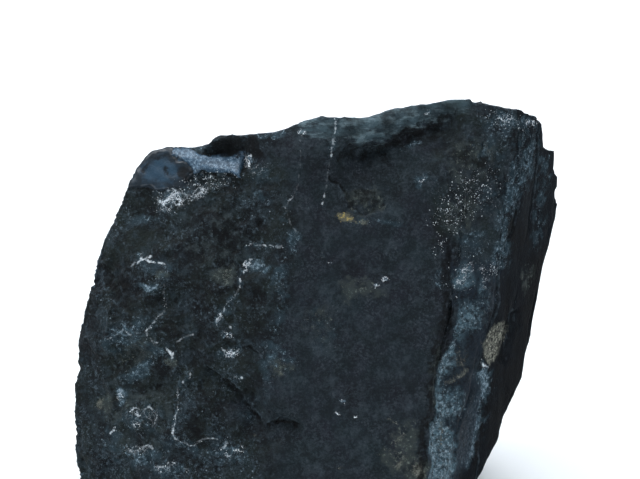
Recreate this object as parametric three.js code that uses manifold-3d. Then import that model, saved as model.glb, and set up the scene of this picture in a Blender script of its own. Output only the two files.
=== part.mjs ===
// A raw lump of black silica stone: one broken piece that stands on a flat natural break.
// Millimetres, +Z up, the broad face towards -Y. The origin is on the ground under the middle of the stone.
//
// The stone is drawn in the frame of its broad face: x across it, y up it from its foot, z out of it.
// It starts as the outline of the face pushed back into a tapering block. Every break of the real rock is
// then one cut: uneven planes for the large fractures, hollow ellipsoids for the shell-shaped scars that
// hard silica leaves, a sheet for the layer that split off on the right and a ledge for the lost corner.
import * as THREE from "three";
import { ImprovedNoise } from "three/addons/math/ImprovedNoise.js";
import { mergeVertices } from "three/addons/utils/BufferGeometryUtils.js";
import Module from "manifold-3d";

const wasm = await Module();
wasm.setup();

// Driving dimensions, mm and degrees.
const LEAN = 16; // the broad face leans back this far from upright
const FOOT = 12; // how far the block runs on below the foot of the face before the ground cuts it off
const DEPTH = 66; // from the broad face to the deepest point of the uncut block
const PROUD = 9; // how far the uncut block stands out in front of the broad face
const CENTRE = new THREE.Vector3(0.83, 31.6, 0); // brings the middle of the finished stone over the origin

const vec = (x, y, z) => new THREE.Vector3(x, y, z);
const radians = THREE.MathUtils.degToRad;

// From the broad face's frame to the frame that the stone stands in.
const TO_STAND = new THREE.Matrix4()
  .makeTranslation(vec(0, 0, 0).sub(CENTRE))
  .multiply(new THREE.Matrix4().makeRotationX(radians(90 - LEAN)));

// A closed three.js geometry as a solid that can be cut.
function solidOf(geometry) {
  geometry.deleteAttribute("normal");
  geometry.deleteAttribute("uv");
  const merged = mergeVertices(geometry, 1e-4);
  return new wasm.Manifold(
    new wasm.Mesh({
      numProp: 3,
      vertProperties: new Float32Array(merged.attributes.position.array),
      triVerts: new Uint32Array(merged.index.array),
    }),
  );
}

// A solid as a three.js geometry.
function geometryOf(solid) {
  const mesh = solid.getMesh();
  return new THREE.BufferGeometry()
    .setAttribute("position", new THREE.BufferAttribute(new Float32Array(mesh.vertProperties), 3))
    .setIndex(new THREE.BufferAttribute(new Uint32Array(mesh.triVerts), 1));
}

// The uneven surface of broken rock: Perlin noise in three sizes, about -1 to 1. Seed moves it elsewhere.
const perlin = new ImprovedNoise();
function roughness(p, size, seed) {
  let sum = 0;
  for (const [share, finer] of [[1, 1], [0.5, 2.1], [0.25, 4.3]]) {
    const k = finer / size;
    sum += share * perlin.noise(p.x * k + seed, p.y * k - seed, p.z * k + 2 * seed);
  }
  return sum;
}

// A number from -0.5 to 0.5 that looks random and is always the same for the same place.
function toss(x, y) {
  const wave = Math.sin(x * 12.9898 + y * 78.233) * 43758.5453;
  return wave - Math.floor(wave) - 0.5;
}

// Moves every vertex of a geometry to where move(p) puts it.
function reshape(geometry, move) {
  const at = geometry.attributes.position;
  const p = vec(0, 0, 0);
  for (let i = 0; i < at.count; i++) {
    move(p.fromBufferAttribute(at, i));
    at.setXYZ(i, p.x, p.y, p.z);
  }
  return geometry;
}

// Turns a geometry made around +Z to face along a direction, and carries it to a place.
function aim(geometry, facing, place) {
  const turn = new THREE.Quaternion().setFromUnitVectors(vec(0, 0, 1), facing.clone().normalize());
  return geometry.applyQuaternion(turn).translate(place.x, place.y, place.z);
}

// The outline of the broad face, up the left edge from the foot, over the top, down the right.
function faceOutline() {
  const outline = new THREE.Shape();
  outline.moveTo(-49, -FOOT);
  outline.lineTo(-54, 6);
  outline.splineThru(
    [[-55.8, 22], [-54.9, 45], [-52.4, 60], [-48, 74], [-41, 86.5]].map(([x, y]) => new THREE.Vector2(x, y)),
  );
  const top = [
    [-37.4, 90.4], [-33, 92], [-29, 91.4], [-23.6, 92], [-22, 93.8], [-13.4, 93.8],
    [-9, 94.1], [-2.4, 97], [5.5, 97.8], [12.4, 97.6], [16, 99.2], [30, 101.8],
  ];
  const right = [
    [33.6, 101.9], [35, 100.8], [50, 98.6], [53, 97], [53.2, 91.6], [57, 91.2],
    [57.4, 87], [62.4, 83.6], [60.8, 79], [56, 63.6], [54.8, 58], [50.8, 41.5],
    [50.6, 36], [47.4, 31.4], [45, 27], [43.6, 17], [40, 2], [36.4, -FOOT],
  ];
  for (const [x, y] of [...top, ...right]) outline.lineTo(x, y);
  outline.closePath();
  return outline;
}

// The block behind the outline. Its walls keep the outline at the front, and draw in and roughen behind it.
function block() {
  const drawIn = 0.16; // share of its width that the block has lost at its back
  const wallRelief = 0.05;
  const heart = vec(0, 42, 0);
  const geometry = new THREE.ExtrudeGeometry(faceOutline(), {
    depth: DEPTH + PROUD,
    steps: 14,
    curveSegments: 5,
    bevelEnabled: false,
  }).translate(0, 0, -DEPTH);
  reshape(geometry, (p) => {
    const back = Math.max(0, -p.z) / DEPTH;
    const scale = 1 - drawIn * back ** 1.4 + wallRelief * Math.min(1, 2 * back) * roughness(p, 22, 3.7);
    p.x = heart.x + (p.x - heart.x) * scale;
    p.y = heart.y + (p.y - heart.y) * scale;
  });
  return solidOf(geometry);
}

// Shallow hollows and low swells of the front, where smaller shells came away: the place of the middle, the
// two half widths, the turn of the first one, the depth, and how much more of it there is on the upper side.
const DENTS = [
  // the bowl under the top edge, in two overlapping parts
  { at: [10.4, 83.6], half: [13, 9.4], turn: 30, depth: 1.9, steep: 0.5 },
  { at: [19.6, 90], half: [15, 6.4], turn: 20, depth: 1.9, steep: 0.9 },
  // the two flakes under the arched ledge low in the middle
  { at: [-19.8, 33], half: [11, 8.6], turn: -47, depth: 1.7, steep: 1 },
  { at: [-7.4, 26], half: [7.4, 5.4], turn: -6, depth: 1.5, steep: 1 },
  // hollows and swells of the rough left side
  { at: [-37, 72], half: [9, 6], turn: 10, depth: 1.4, steep: 0.4 },
  { at: [-30, 56], half: [8, 5], turn: -20, depth: 1.2, steep: 0.5 },
  { at: [-44, 52], half: [8, 5], turn: 15, depth: -1.2, steep: 0 },
  { at: [-37, 40], half: [7, 9], turn: 20, depth: 1.3, steep: 0.4 },
  { at: [-26, 24], half: [8, 5], turn: 5, depth: 1.2, steep: 0.6 },
];

// How deep the dents are at a place on the front.
function dented(x, y) {
  let deep = 0;
  for (const { at, half, turn, depth, steep } of DENTS) {
    const [dx, dy] = [x - at[0], y - at[1]];
    const [c, s] = [Math.cos(radians(turn)), Math.sin(radians(turn))];
    const [u, v] = [(dx * c + dy * s) / half[0], (dy * c - dx * s) / half[1]];
    const inside = 1 - u * u - v * v;
    if (inside > 0) deep += depth * Math.min(1, 2 * inside) * (1 + steep * v);
  }
  return deep;
}

// A large fracture: everything on the side that it faces is broken away, and an uneven plane is left.
// bow is how far the plane swells (or, below 0, hollows) between its middle and 40 mm out.
function fracture({ at, facing, relief, grain, seed, cell = 5, bow = 0, dents = false }) {
  const reach = 150;
  const thick = 60;
  const cells = Math.round(reach / cell);
  const slab = new THREE.BoxGeometry(reach, reach, thick, cells, cells, 1).translate(0, 0, thick / 2);
  reshape(slab, (p) => {
    if (p.z > 1e-6) return;
    const inside = Math.max(Math.abs(p.x), Math.abs(p.y)) < reach / 2 - 1;
    const shift = inside ? 0.75 * cell : 0;
    p.x += shift * toss(p.x, p.y);
    p.y += shift * toss(p.y, p.x);
    p.z += relief * roughness(p, grain, seed) - bow * (p.x ** 2 + p.y ** 2) / 40 ** 2;
  });
  aim(slab.rotateZ(seed), facing, at);
  if (dents) {
    reshape(slab, (p) => {
      p.z -= dented(p.x, p.y);
    });
  }
  return solidOf(slab);
}

const FRACTURES = {
  // the front: the smooth face, the rough face to its left, the turn to the left flank, the right side
  broadFace: {
    at: vec(6, 50, 0), facing: vec(0.01, 0.02, 1), relief: 0.8, grain: 24, seed: 1.3, cell: 3.2, dents: true,
  },
  roughFace: {
    at: vec(-9, 50, 0.3), facing: vec(-0.16, 0.02, 1), relief: 1.7, grain: 14, seed: 2, cell: 3, dents: true,
  },
  leftTurn: {
    at: vec(-49, 50, -8.4), facing: vec(-0.44, 0.09, 1), relief: 1.6, grain: 15, seed: 5.2, cell: 3, bow: 3,
    dents: true,
  },
  rightSide: { at: vec(39.6, 60, -6.4), facing: vec(1.4, -0.3, 1), relief: 1, grain: 20, seed: 6.4, cell: 4 },
  // the top falls away behind its front edge
  topLeft: { at: vec(-30, 91.8, -10), facing: vec(-0.2, 0.95, -0.3), relief: 1.6, grain: 16, seed: 9.1 },
  topMiddle: { at: vec(8, 97, -8), facing: vec(-0.12, 0.93, -0.35), relief: 2, grain: 20, seed: 4.4 },
  topRight: { at: vec(40, 98, -14), facing: vec(0.16, 0.94, -0.28), relief: 1.8, grain: 18, seed: 7.7 },
  // the back: an upper slope, the main break, two side slopes and an undercut at the foot
  upperBack: { at: vec(6, 76, -33), facing: vec(0.06, 0.5, -0.9), relief: 3.6, grain: 28, seed: 11, bow: -3 },
  back: { at: vec(0, 40, -52), facing: vec(0.1, 0.08, -1), relief: 3.8, grain: 30, seed: 12.9, bow: 4 },
  backLeft: { at: vec(-42, 44, -33), facing: vec(-0.8, 0.1, -0.6), relief: 3, grain: 24, seed: 14, bow: -4 },
  backRight: { at: vec(52, 46, -40), facing: vec(0.8, 0.1, -0.67), relief: 3, grain: 24, seed: 15.8, bow: 3 },
  backFoot: { at: vec(8, 16, -56), facing: vec(0.2, -0.55, -0.8), relief: 2.4, grain: 20, seed: 17.1 },
  // the underside: breaks that rise from the flat patch that the stone stands on
  underLeft: { at: vec(-43, 4, -20), facing: vec(-0.9, -1, 0), relief: 1.8, grain: 16, seed: 18.5 },
  underRight: { at: vec(29, 6, -22), facing: vec(0.74, -0.66, -0.1), relief: 1.8, grain: 16, seed: 19.6 },
  underBehind: { at: vec(-24, 10, -34), facing: vec(-0.5, -1, -0.5), relief: 1.6, grain: 18, seed: 20.2 },
  underFront: { at: vec(0, 2, 0), facing: vec(0.05, -0.88, 0.42), relief: 1.4, grain: 18, seed: 21.4 },
  underBack: { at: vec(10, 14.6, -46), facing: vec(0.2, -0.9, -0.5), relief: 1.6, grain: 18, seed: 22.7 },
};

// A shell-shaped scar: a hollow ellipsoid bite, with the low ripples that spread from where it was struck, at
// the far end of its second axis. Its middle is at, and its third axis points along facing.
function scar({ at, radii, tilt = 0, facing, detail = 9, ripple = 0.012, rings = 4 }) {
  const shell = new THREE.IcosahedronGeometry(1, detail);
  reshape(shell, (p) => {
    const fromBlow = Math.hypot(p.x, p.y - 1);
    p.multiplyScalar(1 + ripple * Math.cos(Math.PI * rings * fromBlow));
    p.multiply(radii);
  });
  return solidOf(aim(shell.rotateZ(radians(tilt)), facing, at));
}

const SCARS = [
  // the bevel along the top edge that turns to the light
  { at: vec(15, 106.4, 7.6), radii: vec(37, 19.5, 11), tilt: 9, facing: vec(0, 0.2, 0.98), detail: 12 },
  // the glassy shell at the top left corner
  { at: vec(-35.6, 86, 1.6), radii: vec(8, 6.4, 5.4), tilt: 20, facing: vec(-0.35, 0.35, 0.85), detail: 7 },
  // bites out of the edges at the left, the right and the back
  { at: vec(-66, 62, -34), radii: vec(20, 26, 19), tilt: 14, facing: vec(-0.85, 0.2, -0.4) },
  { at: vec(-60, 12, -42), radii: vec(20, 22, 17), tilt: 30, facing: vec(-0.8, -0.2, -0.5) },
  { at: vec(-20, 90, -62), radii: vec(34, 30, 26), tilt: 20, facing: vec(-0.2, 0.5, -0.85) },
  { at: vec(68, 34, -54), radii: vec(22, 34, 19), tilt: -12, facing: vec(0.7, 0, -0.7) },
  { at: vec(40, 100, -46), radii: vec(30, 22, 24), tilt: 35, facing: vec(0.3, 0.7, -0.7) },
  { at: vec(2, 8, -78), radii: vec(34, 26, 21), tilt: -25, facing: vec(-0.1, -0.5, -0.85) },
];

// The joint along the right of the face, where a whole layer split off. A short steep wall follows the edge,
// and the layer that is left turns away from it to the right.
function joint() {
  const edge = [
    [23, -16], [24.4, 18], [23.8, 28], [25.2, 32], [25.6, 44],
    [28, 54], [29.4, 64], [32, 80], [35.6, 92], [38, 112],
  ];
  const reach = 44;
  const wallFoot = 2.8; // how deep the wall is at the foot of the face; it runs out at the top
  const fall = 0.34;
  const line = new THREE.SplineCurve(edge.map(([x, y]) => new THREE.Vector2(x, y)));
  const sheet = new THREE.BoxGeometry(1, 1, 1, 15, 40, 1).translate(0.5, 0.5, 0.5);
  reshape(sheet, (p) => {
    const up = THREE.MathUtils.clamp(p.y, 0, 1);
    const foot = line.getPointAt(up);
    const out = reach * p.x ** 1.25;
    const under = p.z < 0.5;
    p.set(foot.x + out, foot.y - 0.1 * out, 40);
    if (!under) return;
    const floor = -wallFoot * (1 - up ** 2) - fall * out + roughness(vec(p.x * 1.6, p.y * 0.7, 0), 13, 31.3);
    p.z = out > 0 ? floor : 1.5;
  });
  return solidOf(sheet);
}

// The corner broken out of the top left: a glossy hollow ledge that faces up and out, under dark rock that
// leans over it. The rock stands nearer on the right than on the left, so there are two ledges. Each place is
// the right end of the line where the ledge meets the rock.
function ledges() {
  const long = 40;
  const profile = new THREE.Shape();
  profile.moveTo(0, 0);
  profile.splineThru([[-1.8, 0.6], [-3.3, 2], [-4.3, 4.2], [-5, 8]].map(([y, z]) => new THREE.Vector2(y, z)));
  profile.lineTo(-6, 40);
  profile.lineTo(24, 40);
  profile.lineTo(24, 9);
  const alongX = new THREE.Matrix4().makeBasis(vec(0, 1, 0), vec(0, 0, 1), vec(1, 0, 0));
  return [[-15.6, 89, -6.2], [-25.6, 92.4, -9.6]].map(([x, y, z]) => {
    const ledge = new THREE.ExtrudeGeometry(profile, {
      depth: long,
      steps: 14,
      curveSegments: 2,
      bevelEnabled: false,
    });
    ledge.applyMatrix4(alongX).translate(x - long, y, z);
    reshape(ledge, (p) => {
      const uneven = 0.5 * roughness(p, 8, 41.5);
      p.y += uneven;
      p.z += uneven;
    });
    return solidOf(ledge);
  });
}

// The stone in its own frame.
function brokenStone() {
  const cuts = [...Object.values(FRACTURES).map(fracture), joint(), ...ledges(), ...SCARS.map(scar)];
  return cuts.reduce((body, cut) => body.subtract(cut), block());
}

// The finished solid in the frame that it stands in, cut off flat by the ground.
function standing(body) {
  const ground = new THREE.BoxGeometry(300, 300, 100).translate(0, 0, -50);
  const cut = solidOf(geometryOf(body).applyMatrix4(TO_STAND)).subtract(solidOf(ground));
  const faceted = geometryOf(cut).toNonIndexed();
  faceted.computeVertexNormals();
  return faceted;
}

const blackSilica = new THREE.MeshStandardMaterial({
  color: 0x252b31,
  roughness: 0.62,
  metalness: 0,
  flatShading: true,
});
const stone = new THREE.Mesh(standing(brokenStone()), blackSilica);
stone.name = "stone";

const part = new THREE.Group();
part.add(stone);

export default part;
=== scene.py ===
# %% [markdown]
# # A raw lump of black silica
# Black silica is quartz so fine-grained and full of carbon that it looks like black glass gone dull. It has
# no cleavage, so it breaks in shells and splinters, and cracks in it heal with white quartz. This lesson
# dresses the plain faceted solid of one such lump: first its worn surface, then its stains, veins and crusts.
#
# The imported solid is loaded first. It is the fixed frame, in metres, that every later piece is fitted to.

# %% Load the frame
import math

import bmesh
import bpy
import numpy as np
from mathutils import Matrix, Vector, noise


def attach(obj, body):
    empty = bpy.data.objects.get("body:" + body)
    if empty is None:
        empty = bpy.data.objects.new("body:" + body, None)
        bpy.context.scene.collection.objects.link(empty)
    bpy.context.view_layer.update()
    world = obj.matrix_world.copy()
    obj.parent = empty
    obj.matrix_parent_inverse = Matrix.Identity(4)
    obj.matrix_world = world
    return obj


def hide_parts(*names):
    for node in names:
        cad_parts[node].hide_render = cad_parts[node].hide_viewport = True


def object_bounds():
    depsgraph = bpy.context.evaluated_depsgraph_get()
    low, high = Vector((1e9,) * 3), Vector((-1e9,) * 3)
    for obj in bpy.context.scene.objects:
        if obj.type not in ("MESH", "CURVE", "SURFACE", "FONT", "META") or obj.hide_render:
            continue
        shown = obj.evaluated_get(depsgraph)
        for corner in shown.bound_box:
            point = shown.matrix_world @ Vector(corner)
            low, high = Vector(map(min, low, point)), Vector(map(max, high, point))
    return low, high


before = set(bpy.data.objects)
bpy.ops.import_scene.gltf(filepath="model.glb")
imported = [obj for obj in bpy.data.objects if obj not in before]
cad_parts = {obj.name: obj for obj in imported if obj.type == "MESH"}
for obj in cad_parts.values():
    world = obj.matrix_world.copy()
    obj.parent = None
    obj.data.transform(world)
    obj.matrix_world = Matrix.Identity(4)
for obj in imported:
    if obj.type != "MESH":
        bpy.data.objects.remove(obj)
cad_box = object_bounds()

NOISE_SEED = 4
noise.seed_set(NOISE_SEED)  # without it, each run would bend the edges in another way
print("CAD box, m:", [[round(v, 4) for v in corner] for corner in cad_box])

# %% [markdown]
# ## Two frames
# The stone stands on the ground, but its broad face leans back by 16 degrees. Places on the face are easier
# to give in millimetres across the face and up it, so two functions turn points from one frame to the other.
# A third says where the eye in front sees a point against the plane of the face, which is how the places of
# the veins and stains below were measured.

# %% The face's frame
MM = 0.001
LEAN = math.radians(16)
FACE_ZERO = np.array([0.83, 31.6, 0.0])  # mm, from the face's own zero to the middle of the stone's foot
EYE_RISE = math.radians(20)  # the eye looks down by this much
EYE_AWAY = 360.0  # mm from the eye to the point that it looks at
LOOK_AT = np.array([0.66, 70.5, 0.0])  # mm, on the face

TURN = math.pi / 2 - LEAN
FACE_AXES = np.array([
    [1, 0, 0],
    [0, math.cos(TURN), math.sin(TURN)],
    [0, -math.sin(TURN), math.cos(TURN)],
])  # the face's x, y and z axes, as rows, in the frame of the ground


def to_face(points):
    """Points in metres on the ground's axes, as millimetres on the face's axes."""
    return (np.asarray(points) / MM + FACE_ZERO) @ FACE_AXES.T


def to_ground(points):
    """Millimetres on the face's axes, as metres on the ground's axes."""
    return (np.asarray(points) @ FACE_AXES - FACE_ZERO) * MM


EYE_DIRECTION = np.array([0, -math.cos(EYE_RISE), math.sin(EYE_RISE)])
EYE = to_ground(LOOK_AT) + EYE_DIRECTION * EYE_AWAY * MM
EYE_ON_FACE = to_face(EYE)


def seen_on_face(points):
    """Where the eye sees points, given in metres, against the plane of the face: x and y in millimetres."""
    local = to_face(points)
    reach = EYE_ON_FACE[2] / (EYE_ON_FACE[2] - local[:, 2:])
    return (EYE_ON_FACE + (local - EYE_ON_FACE) * reach)[:, :2]


print("the eye, m:", EYE.round(3))

# %% [markdown]
# ## Small tools for meshes
# Meshes are read and written as whole arrays, because the stone has over a hundred thousand vertices. A value
# stored on the points, called an attribute, can later be read by Geometry Nodes and by the material.

# %% Reading and writing meshes
def coordinates(mesh):
    flat = np.empty(len(mesh.vertices) * 3, np.float32)
    mesh.vertices.foreach_get("co", flat)
    return flat.reshape(-1, 3).astype(float)


def set_coordinates(mesh, points):
    mesh.vertices.foreach_set("co", points.astype(np.float32).ravel())
    mesh.update()


def normals(mesh):
    flat = np.empty(len(mesh.vertices) * 3, np.float32)
    mesh.vertex_normals.foreach_get("vector", flat)
    return flat.reshape(-1, 3).astype(float)


def store(mesh, name, values):
    """Keeps one number per point under a name."""
    attribute = mesh.attributes.get(name) or mesh.attributes.new(name, "FLOAT", "POINT")
    attribute.data.foreach_set("value", values.astype(np.float32))


def smooth_step(values, low, high):
    t = np.clip((values - low) / (high - low), 0, 1)
    return t * t * (3 - 2 * t)


def tapered(along, share):
    """1 along a line, falling to 0 over a share of its length at each end."""
    return smooth_step(along, 0, share) * (1 - smooth_step(along, 1 - share, 1))


def noise_at(points):
    """One smooth noise, from -1 to 1, at each point. Its lumps are about 1 wide."""
    return np.array([noise.noise(Vector(point)) for point in points])


def bake(piece):
    """Turns an object's modifiers into plain mesh and removes them."""
    evaluated = piece.evaluated_get(bpy.context.evaluated_depsgraph_get())
    mesh = bpy.data.meshes.new_from_object(evaluated)
    piece.modifiers.clear()
    old = piece.data
    piece.data = mesh
    bpy.data.meshes.remove(old)
    return mesh


# %% [markdown]
# ## The lump to start from
# The solid is loose triangles some 3 mm wide. A copy of it is merged, so that neighbours share their corners,
# and then remeshed with a voxel grid, which gives small even faces that can take fine relief. The other way
# would be to subdivide it, but that keeps the long thin triangles, and they shade badly.

# %% Copy and remesh the solid
VOXEL = 0.42 * MM


def object_of(name, data):
    made = bpy.data.objects.new(name, data)
    bpy.context.scene.collection.objects.link(made)
    return made


plain_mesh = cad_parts["stone"].data.copy()
welder = bmesh.new()
welder.from_mesh(plain_mesh)
bmesh.ops.remove_doubles(welder, verts=welder.verts, dist=0.001 * MM)
welder.to_mesh(plain_mesh)
welder.free()
plain_mesh.materials.clear()
plain = object_of("plain_stone", plain_mesh)

stone = object_of("raw_black_silica", plain_mesh.copy())
remesh = stone.modifiers.new("even faces", "REMESH")
remesh.mode = "VOXEL"
remesh.voxel_size = VOXEL
bake(stone)
print("faces after remeshing:", len(stone.data.polygons))

# %% [markdown]
# ## Node trees in code
# Geometry Nodes and materials are both trees of nodes. One function adds a node with its settings and links
# and hands back the socket that the next node needs. Others start a Geometry Nodes tree with named inputs,
# end it, and run it on an object, whose new shape is kept as plain mesh.

# %% Helpers for node trees
def add(tree, kind, inputs=None, output=0, **settings):
    """Adds a node. inputs go from a socket's name or number to a value or to the socket that feeds it."""
    node = tree.nodes.new(kind)
    for name, value in settings.items():
        setattr(node, name, value)
    for key, value in (inputs or {}).items():
        if isinstance(value, bpy.types.NodeSocket):
            tree.links.new(value, node.inputs[key])
        else:
            node.inputs[key].default_value = value
    return node.outputs[output] if node.outputs else node


def geometry_tree(name, sizes):
    """A new Geometry Nodes tree with a geometry input and one input for each named size."""
    tree = bpy.data.node_groups.new(name, "GeometryNodeTree")
    kinds = {float: "NodeSocketFloat", int: "NodeSocketInt", bpy.types.Object: "NodeSocketObject"}
    tree.interface.new_socket("Geometry", in_out="INPUT", socket_type="NodeSocketGeometry")
    for label, kind in sizes.items():
        tree.interface.new_socket(label, in_out="INPUT", socket_type=kinds[kind])
    tree.interface.new_socket("Geometry", in_out="OUTPUT", socket_type="NodeSocketGeometry")
    entry = tree.nodes.new("NodeGroupInput")
    return tree, entry.outputs


def finish_tree(tree, geometry, material=None):
    """Ends a tree in Realize Instances and Set Material."""
    real = add(tree, "GeometryNodeRealizeInstances", {0: geometry})
    painted = add(tree, "GeometryNodeSetMaterial", {"Geometry": real, "Material": material})
    add(tree, "NodeGroupOutput", {0: painted})


def run_tree(piece, tree, values):
    """Runs a tree on a piece with its inputs set by identifier, and keeps the result as plain mesh."""
    modifier = piece.modifiers.new(tree.name, "NODES")
    modifier.node_group = tree
    for item in tree.interface.items_tree:
        if item.in_out == "INPUT" and item.name in values:
            modifier[item.identifier] = values[item.name]
    return bake(piece)


# %% [markdown]
# ## Rounding the facets, keeping the breaks
# The facets of the solid aren't on the real stone, but its sharp breaks are. So each point is averaged with
# its neighbours many times over, and how much it takes part depends on how far it is from a sharp edge of the
# solid. Geometry Nodes measure that distance with Geometry Proximity. A plain Smooth modifier would melt the
# breaks with the facets.

# %% The softening tree
def softening_tree():
    tree, sizes = geometry_tree("soften facets", {
        "Solid": bpy.types.Object, "Sharp angle": float, "Held within": float, "Free beyond": float,
        "Passes": int,
    })
    solid = add(tree, "GeometryNodeObjectInfo", {"Object": sizes["Solid"]}, output="Geometry")
    angle = add(tree, "GeometryNodeInputMeshEdgeAngle")
    sharp = add(tree, "FunctionNodeCompare", {0: angle, 1: sizes["Sharp angle"]}, operation="GREATER_THAN")
    breaks = add(tree, "GeometryNodeSeparateGeometry", {0: solid, "Selection": sharp}, domain="EDGE")
    away = add(tree, "GeometryNodeProximity", {0: breaks}, output="Distance", target_element="EDGES")
    share = add(tree, "ShaderNodeMapRange", {
        "Value": away, "From Min": sizes["Held within"], "From Max": sizes["Free beyond"], "To Min": 0.03,
    }, interpolation_type="SMOOTHSTEP")
    place = add(tree, "GeometryNodeInputPosition")
    blurred = add(tree, "GeometryNodeBlurAttribute", {
        "Value": place, "Iterations": sizes["Passes"], "Weight": share,
    }, data_type="FLOAT_VECTOR")
    moved = add(tree, "GeometryNodeSetPosition", {"Geometry": sizes["Geometry"], "Position": blurred})
    finish_tree(tree, moved)
    return tree


run_tree(stone, softening_tree(), {
    "Solid": plain,
    "Sharp angle": math.radians(34),
    "Held within": 0.3 * MM,
    "Free beyond": 2.4 * MM,
    "Passes": 45,
})
bpy.data.objects.remove(plain)
print("points after softening:", len(stone.data.vertices))

# %% [markdown]
# ## Where things are on the stone
# Black silica is far from even. Its left side broke through rough, cracked rock, the middle split along one
# smooth surface, and the right side was an old open joint that grew a pale coat of minerals. Each such zone
# is a number from 0 to 1 on every point. Small functions give them: a patch fades out from an oval or an
# outline, and a streak fades out from a line drawn on the face.

# %% Patches and lines on the face
def oval(seen, centre, radii, turn, soft):
    """1 inside an oval on the face and 0 outside it. soft is the share of the radius over which it fades."""
    along = seen - np.array(centre)
    c, s = math.cos(math.radians(turn)), math.sin(math.radians(turn))
    across = np.stack([along[:, 0] * c + along[:, 1] * s, along[:, 1] * c - along[:, 0] * s], axis=1)
    reach = np.linalg.norm(across / np.array(radii), axis=1)
    return 1 - smooth_step(reach, 1 - soft, 1 + soft)


def from_line(seen, line):
    """The signed distance in mm from a line, positive to its left, and the share of the way along it."""
    line = np.array(line, float)
    steps = np.diff(line, axis=0)
    lengths = np.linalg.norm(steps, axis=1)
    starts = np.concatenate([[0], np.cumsum(lengths)])
    nearest = np.full(len(seen), 1e6)
    signed = np.full(len(seen), 1e6)
    along = np.zeros(len(seen))
    for start, step, length, before in zip(line, steps, lengths, starts):
        offset = seen - start
        share = np.clip(offset @ step / length**2, 0, 1)
        gap = np.linalg.norm(offset - share[:, None] * step, axis=1)
        side = np.where(step[0] * offset[:, 1] - step[1] * offset[:, 0] >= 0, 1.0, -1.0)
        closer = gap < nearest
        nearest = np.where(closer, gap, nearest)
        signed = np.where(closer, gap * side, signed)
        along = np.where(closer, (before + share * length) / starts[-1], along)
    return signed, along


def within(seen, corners, soft):
    """1 inside an outline on the face and 0 outside, fading over soft mm each way."""
    corners = np.array(corners, float)
    x, y = seen[:, 0], seen[:, 1]
    inside = np.zeros(len(seen), bool)
    for (x0, y0), (x1, y1) in zip(corners, np.roll(corners, -1, axis=0)):
        crosses = (y0 > y) != (y1 > y)
        rise = y1 - y0 if y1 != y0 else 1e-9
        inside ^= crosses & (x < (x1 - x0) * (y - y0) / rise + x0)
    gap = np.abs(from_line(seen, np.vstack([corners, corners[:1]]))[0])
    return smooth_step(np.where(inside, gap, -gap), -soft, soft)


def heaped(seen, spots, soft=0.6):
    """The densest of many oval spots at each point."""
    cover = np.zeros(len(seen))
    for x, y, wide, tall, turn, density in spots:
        cover = np.maximum(cover, density * oval(seen, (x, y), (wide, tall), turn, soft))
    return cover


def streaked(seen, streaks):
    """The densest of many soft streaks at each point, each a line on the face with a half width in mm."""
    cover = np.zeros(len(seen))
    for line, half, density in streaks:
        away, along = from_line(seen, line)
        cover = np.maximum(cover, density * tapered(along, share=0.15) * np.exp(-((away / half) ** 2)))
    return cover


# %% [markdown]
# ## Wavering edges
# Broken rock has no straight edges, so a point's place on the face is bent by noise before anything is
# measured from it: widely for a torn break, finely for a thread of quartz. A mark of the face also stops
# where the stone turns away, or it would show on the back as well.

# %% What wavers, and what faces forwards
WAVES = {
    # how edges waver: the width and the reach of each wave in mm
    "torn": [(9, 4.5), (3.2, 2.4), (1.1, 0.9)],
    "steady": [(9, 0.9), (3.2, 0.9), (1.1, 0.6)],
    "crisp": [(3, 0.8), (1, 0.4)],
    "frayed": [(4.5, 1.4), (1.6, 1)],
    "fine": [(1.8, 0.3), (0.7, 0.2)],
}
FACING = {
    # how squarely a point faces forwards where a mark starts and where it is whole: 1 is straight ahead
    "marks": (0.05, 0.4), "strip": (-0.1, 0.2), "coat": (-0.25, 0.1), "olive": (-0.2, 0.2),
    "tan patch": (-0.4, 0), "bevel_light": (-0.4, 0.1), "flank haze": (-0.3, 0), "flank dark": (-0.7, -0.3),
}


def wandered(points, seen, kind):
    """Bends places on the face, so that edges waver as broken rock's do."""
    bent = seen.copy()
    for width, reach in WAVES[kind]:
        pushes = [noise.noise_vector(Vector(point / (width * MM))) for point in points]
        bent += reach * np.array(pushes)[:, :2]
    return bent


def front(mesh, kind="marks"):
    """1 on what faces forwards and 0 on what faces away, so that marks of the face stay off the back."""
    return smooth_step(normals(mesh) @ FACE_AXES[2], *FACING[kind])


# %% [markdown]
# ## The rough break and the smooth one
# The rough left of the face ends along a wavering line, and the coated joint is a band between two such
# lines. Two glassy breaks, a shell and a strip, are fresh scars at the top left corner. The flank is the
# stone's right side. At the foot every mark fades out, so that the stone stands flat.

# %% The lines that bound the zones
ROUGH_EDGE = [(-12, 96), (-7, 78), (-5.5, 62), (-9, 50), (-12, 42), (-13, 32), (-10, 16)]
ROUGH_FADE = 7.0  # mm that the rough break fades over, on each side of its edge
ROUGH_SPOTS = [
    # x and y on the face, half width and half height in mm, turn, and how rough
    (33, 82, 9, 16, 0, 0.55), (26, 99, 26, 5, 8, 0.45),
]
ROUGH_BACK, ROUGH_FLANK = 0.8, 0.12  # how rough the back and the flank are
COAT_LEFT = [
    (31.5, 74), (29.6, 64.9), (29.3, 55.9), (29.9, 52.8), (29.3, 47.5), (26.4, 42.7), (26.2, 30.8),
    (24.4, 29), (24.4, 10),
]
COAT_RIGHT = [
    (37.4, 74), (39.4, 64.9), (38.9, 57.2), (37.0, 52.8), (35.6, 47.3), (34.6, 41.8), (34.8, 26.4),
    (31.5, 17.8), (30, 10),
]
SHELL_RIM = [(-31.7, 89.1), (-30.1, 88.2), (-27.9, 86.6), (-26.8, 85.2)]  # where shell and strip meet
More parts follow.
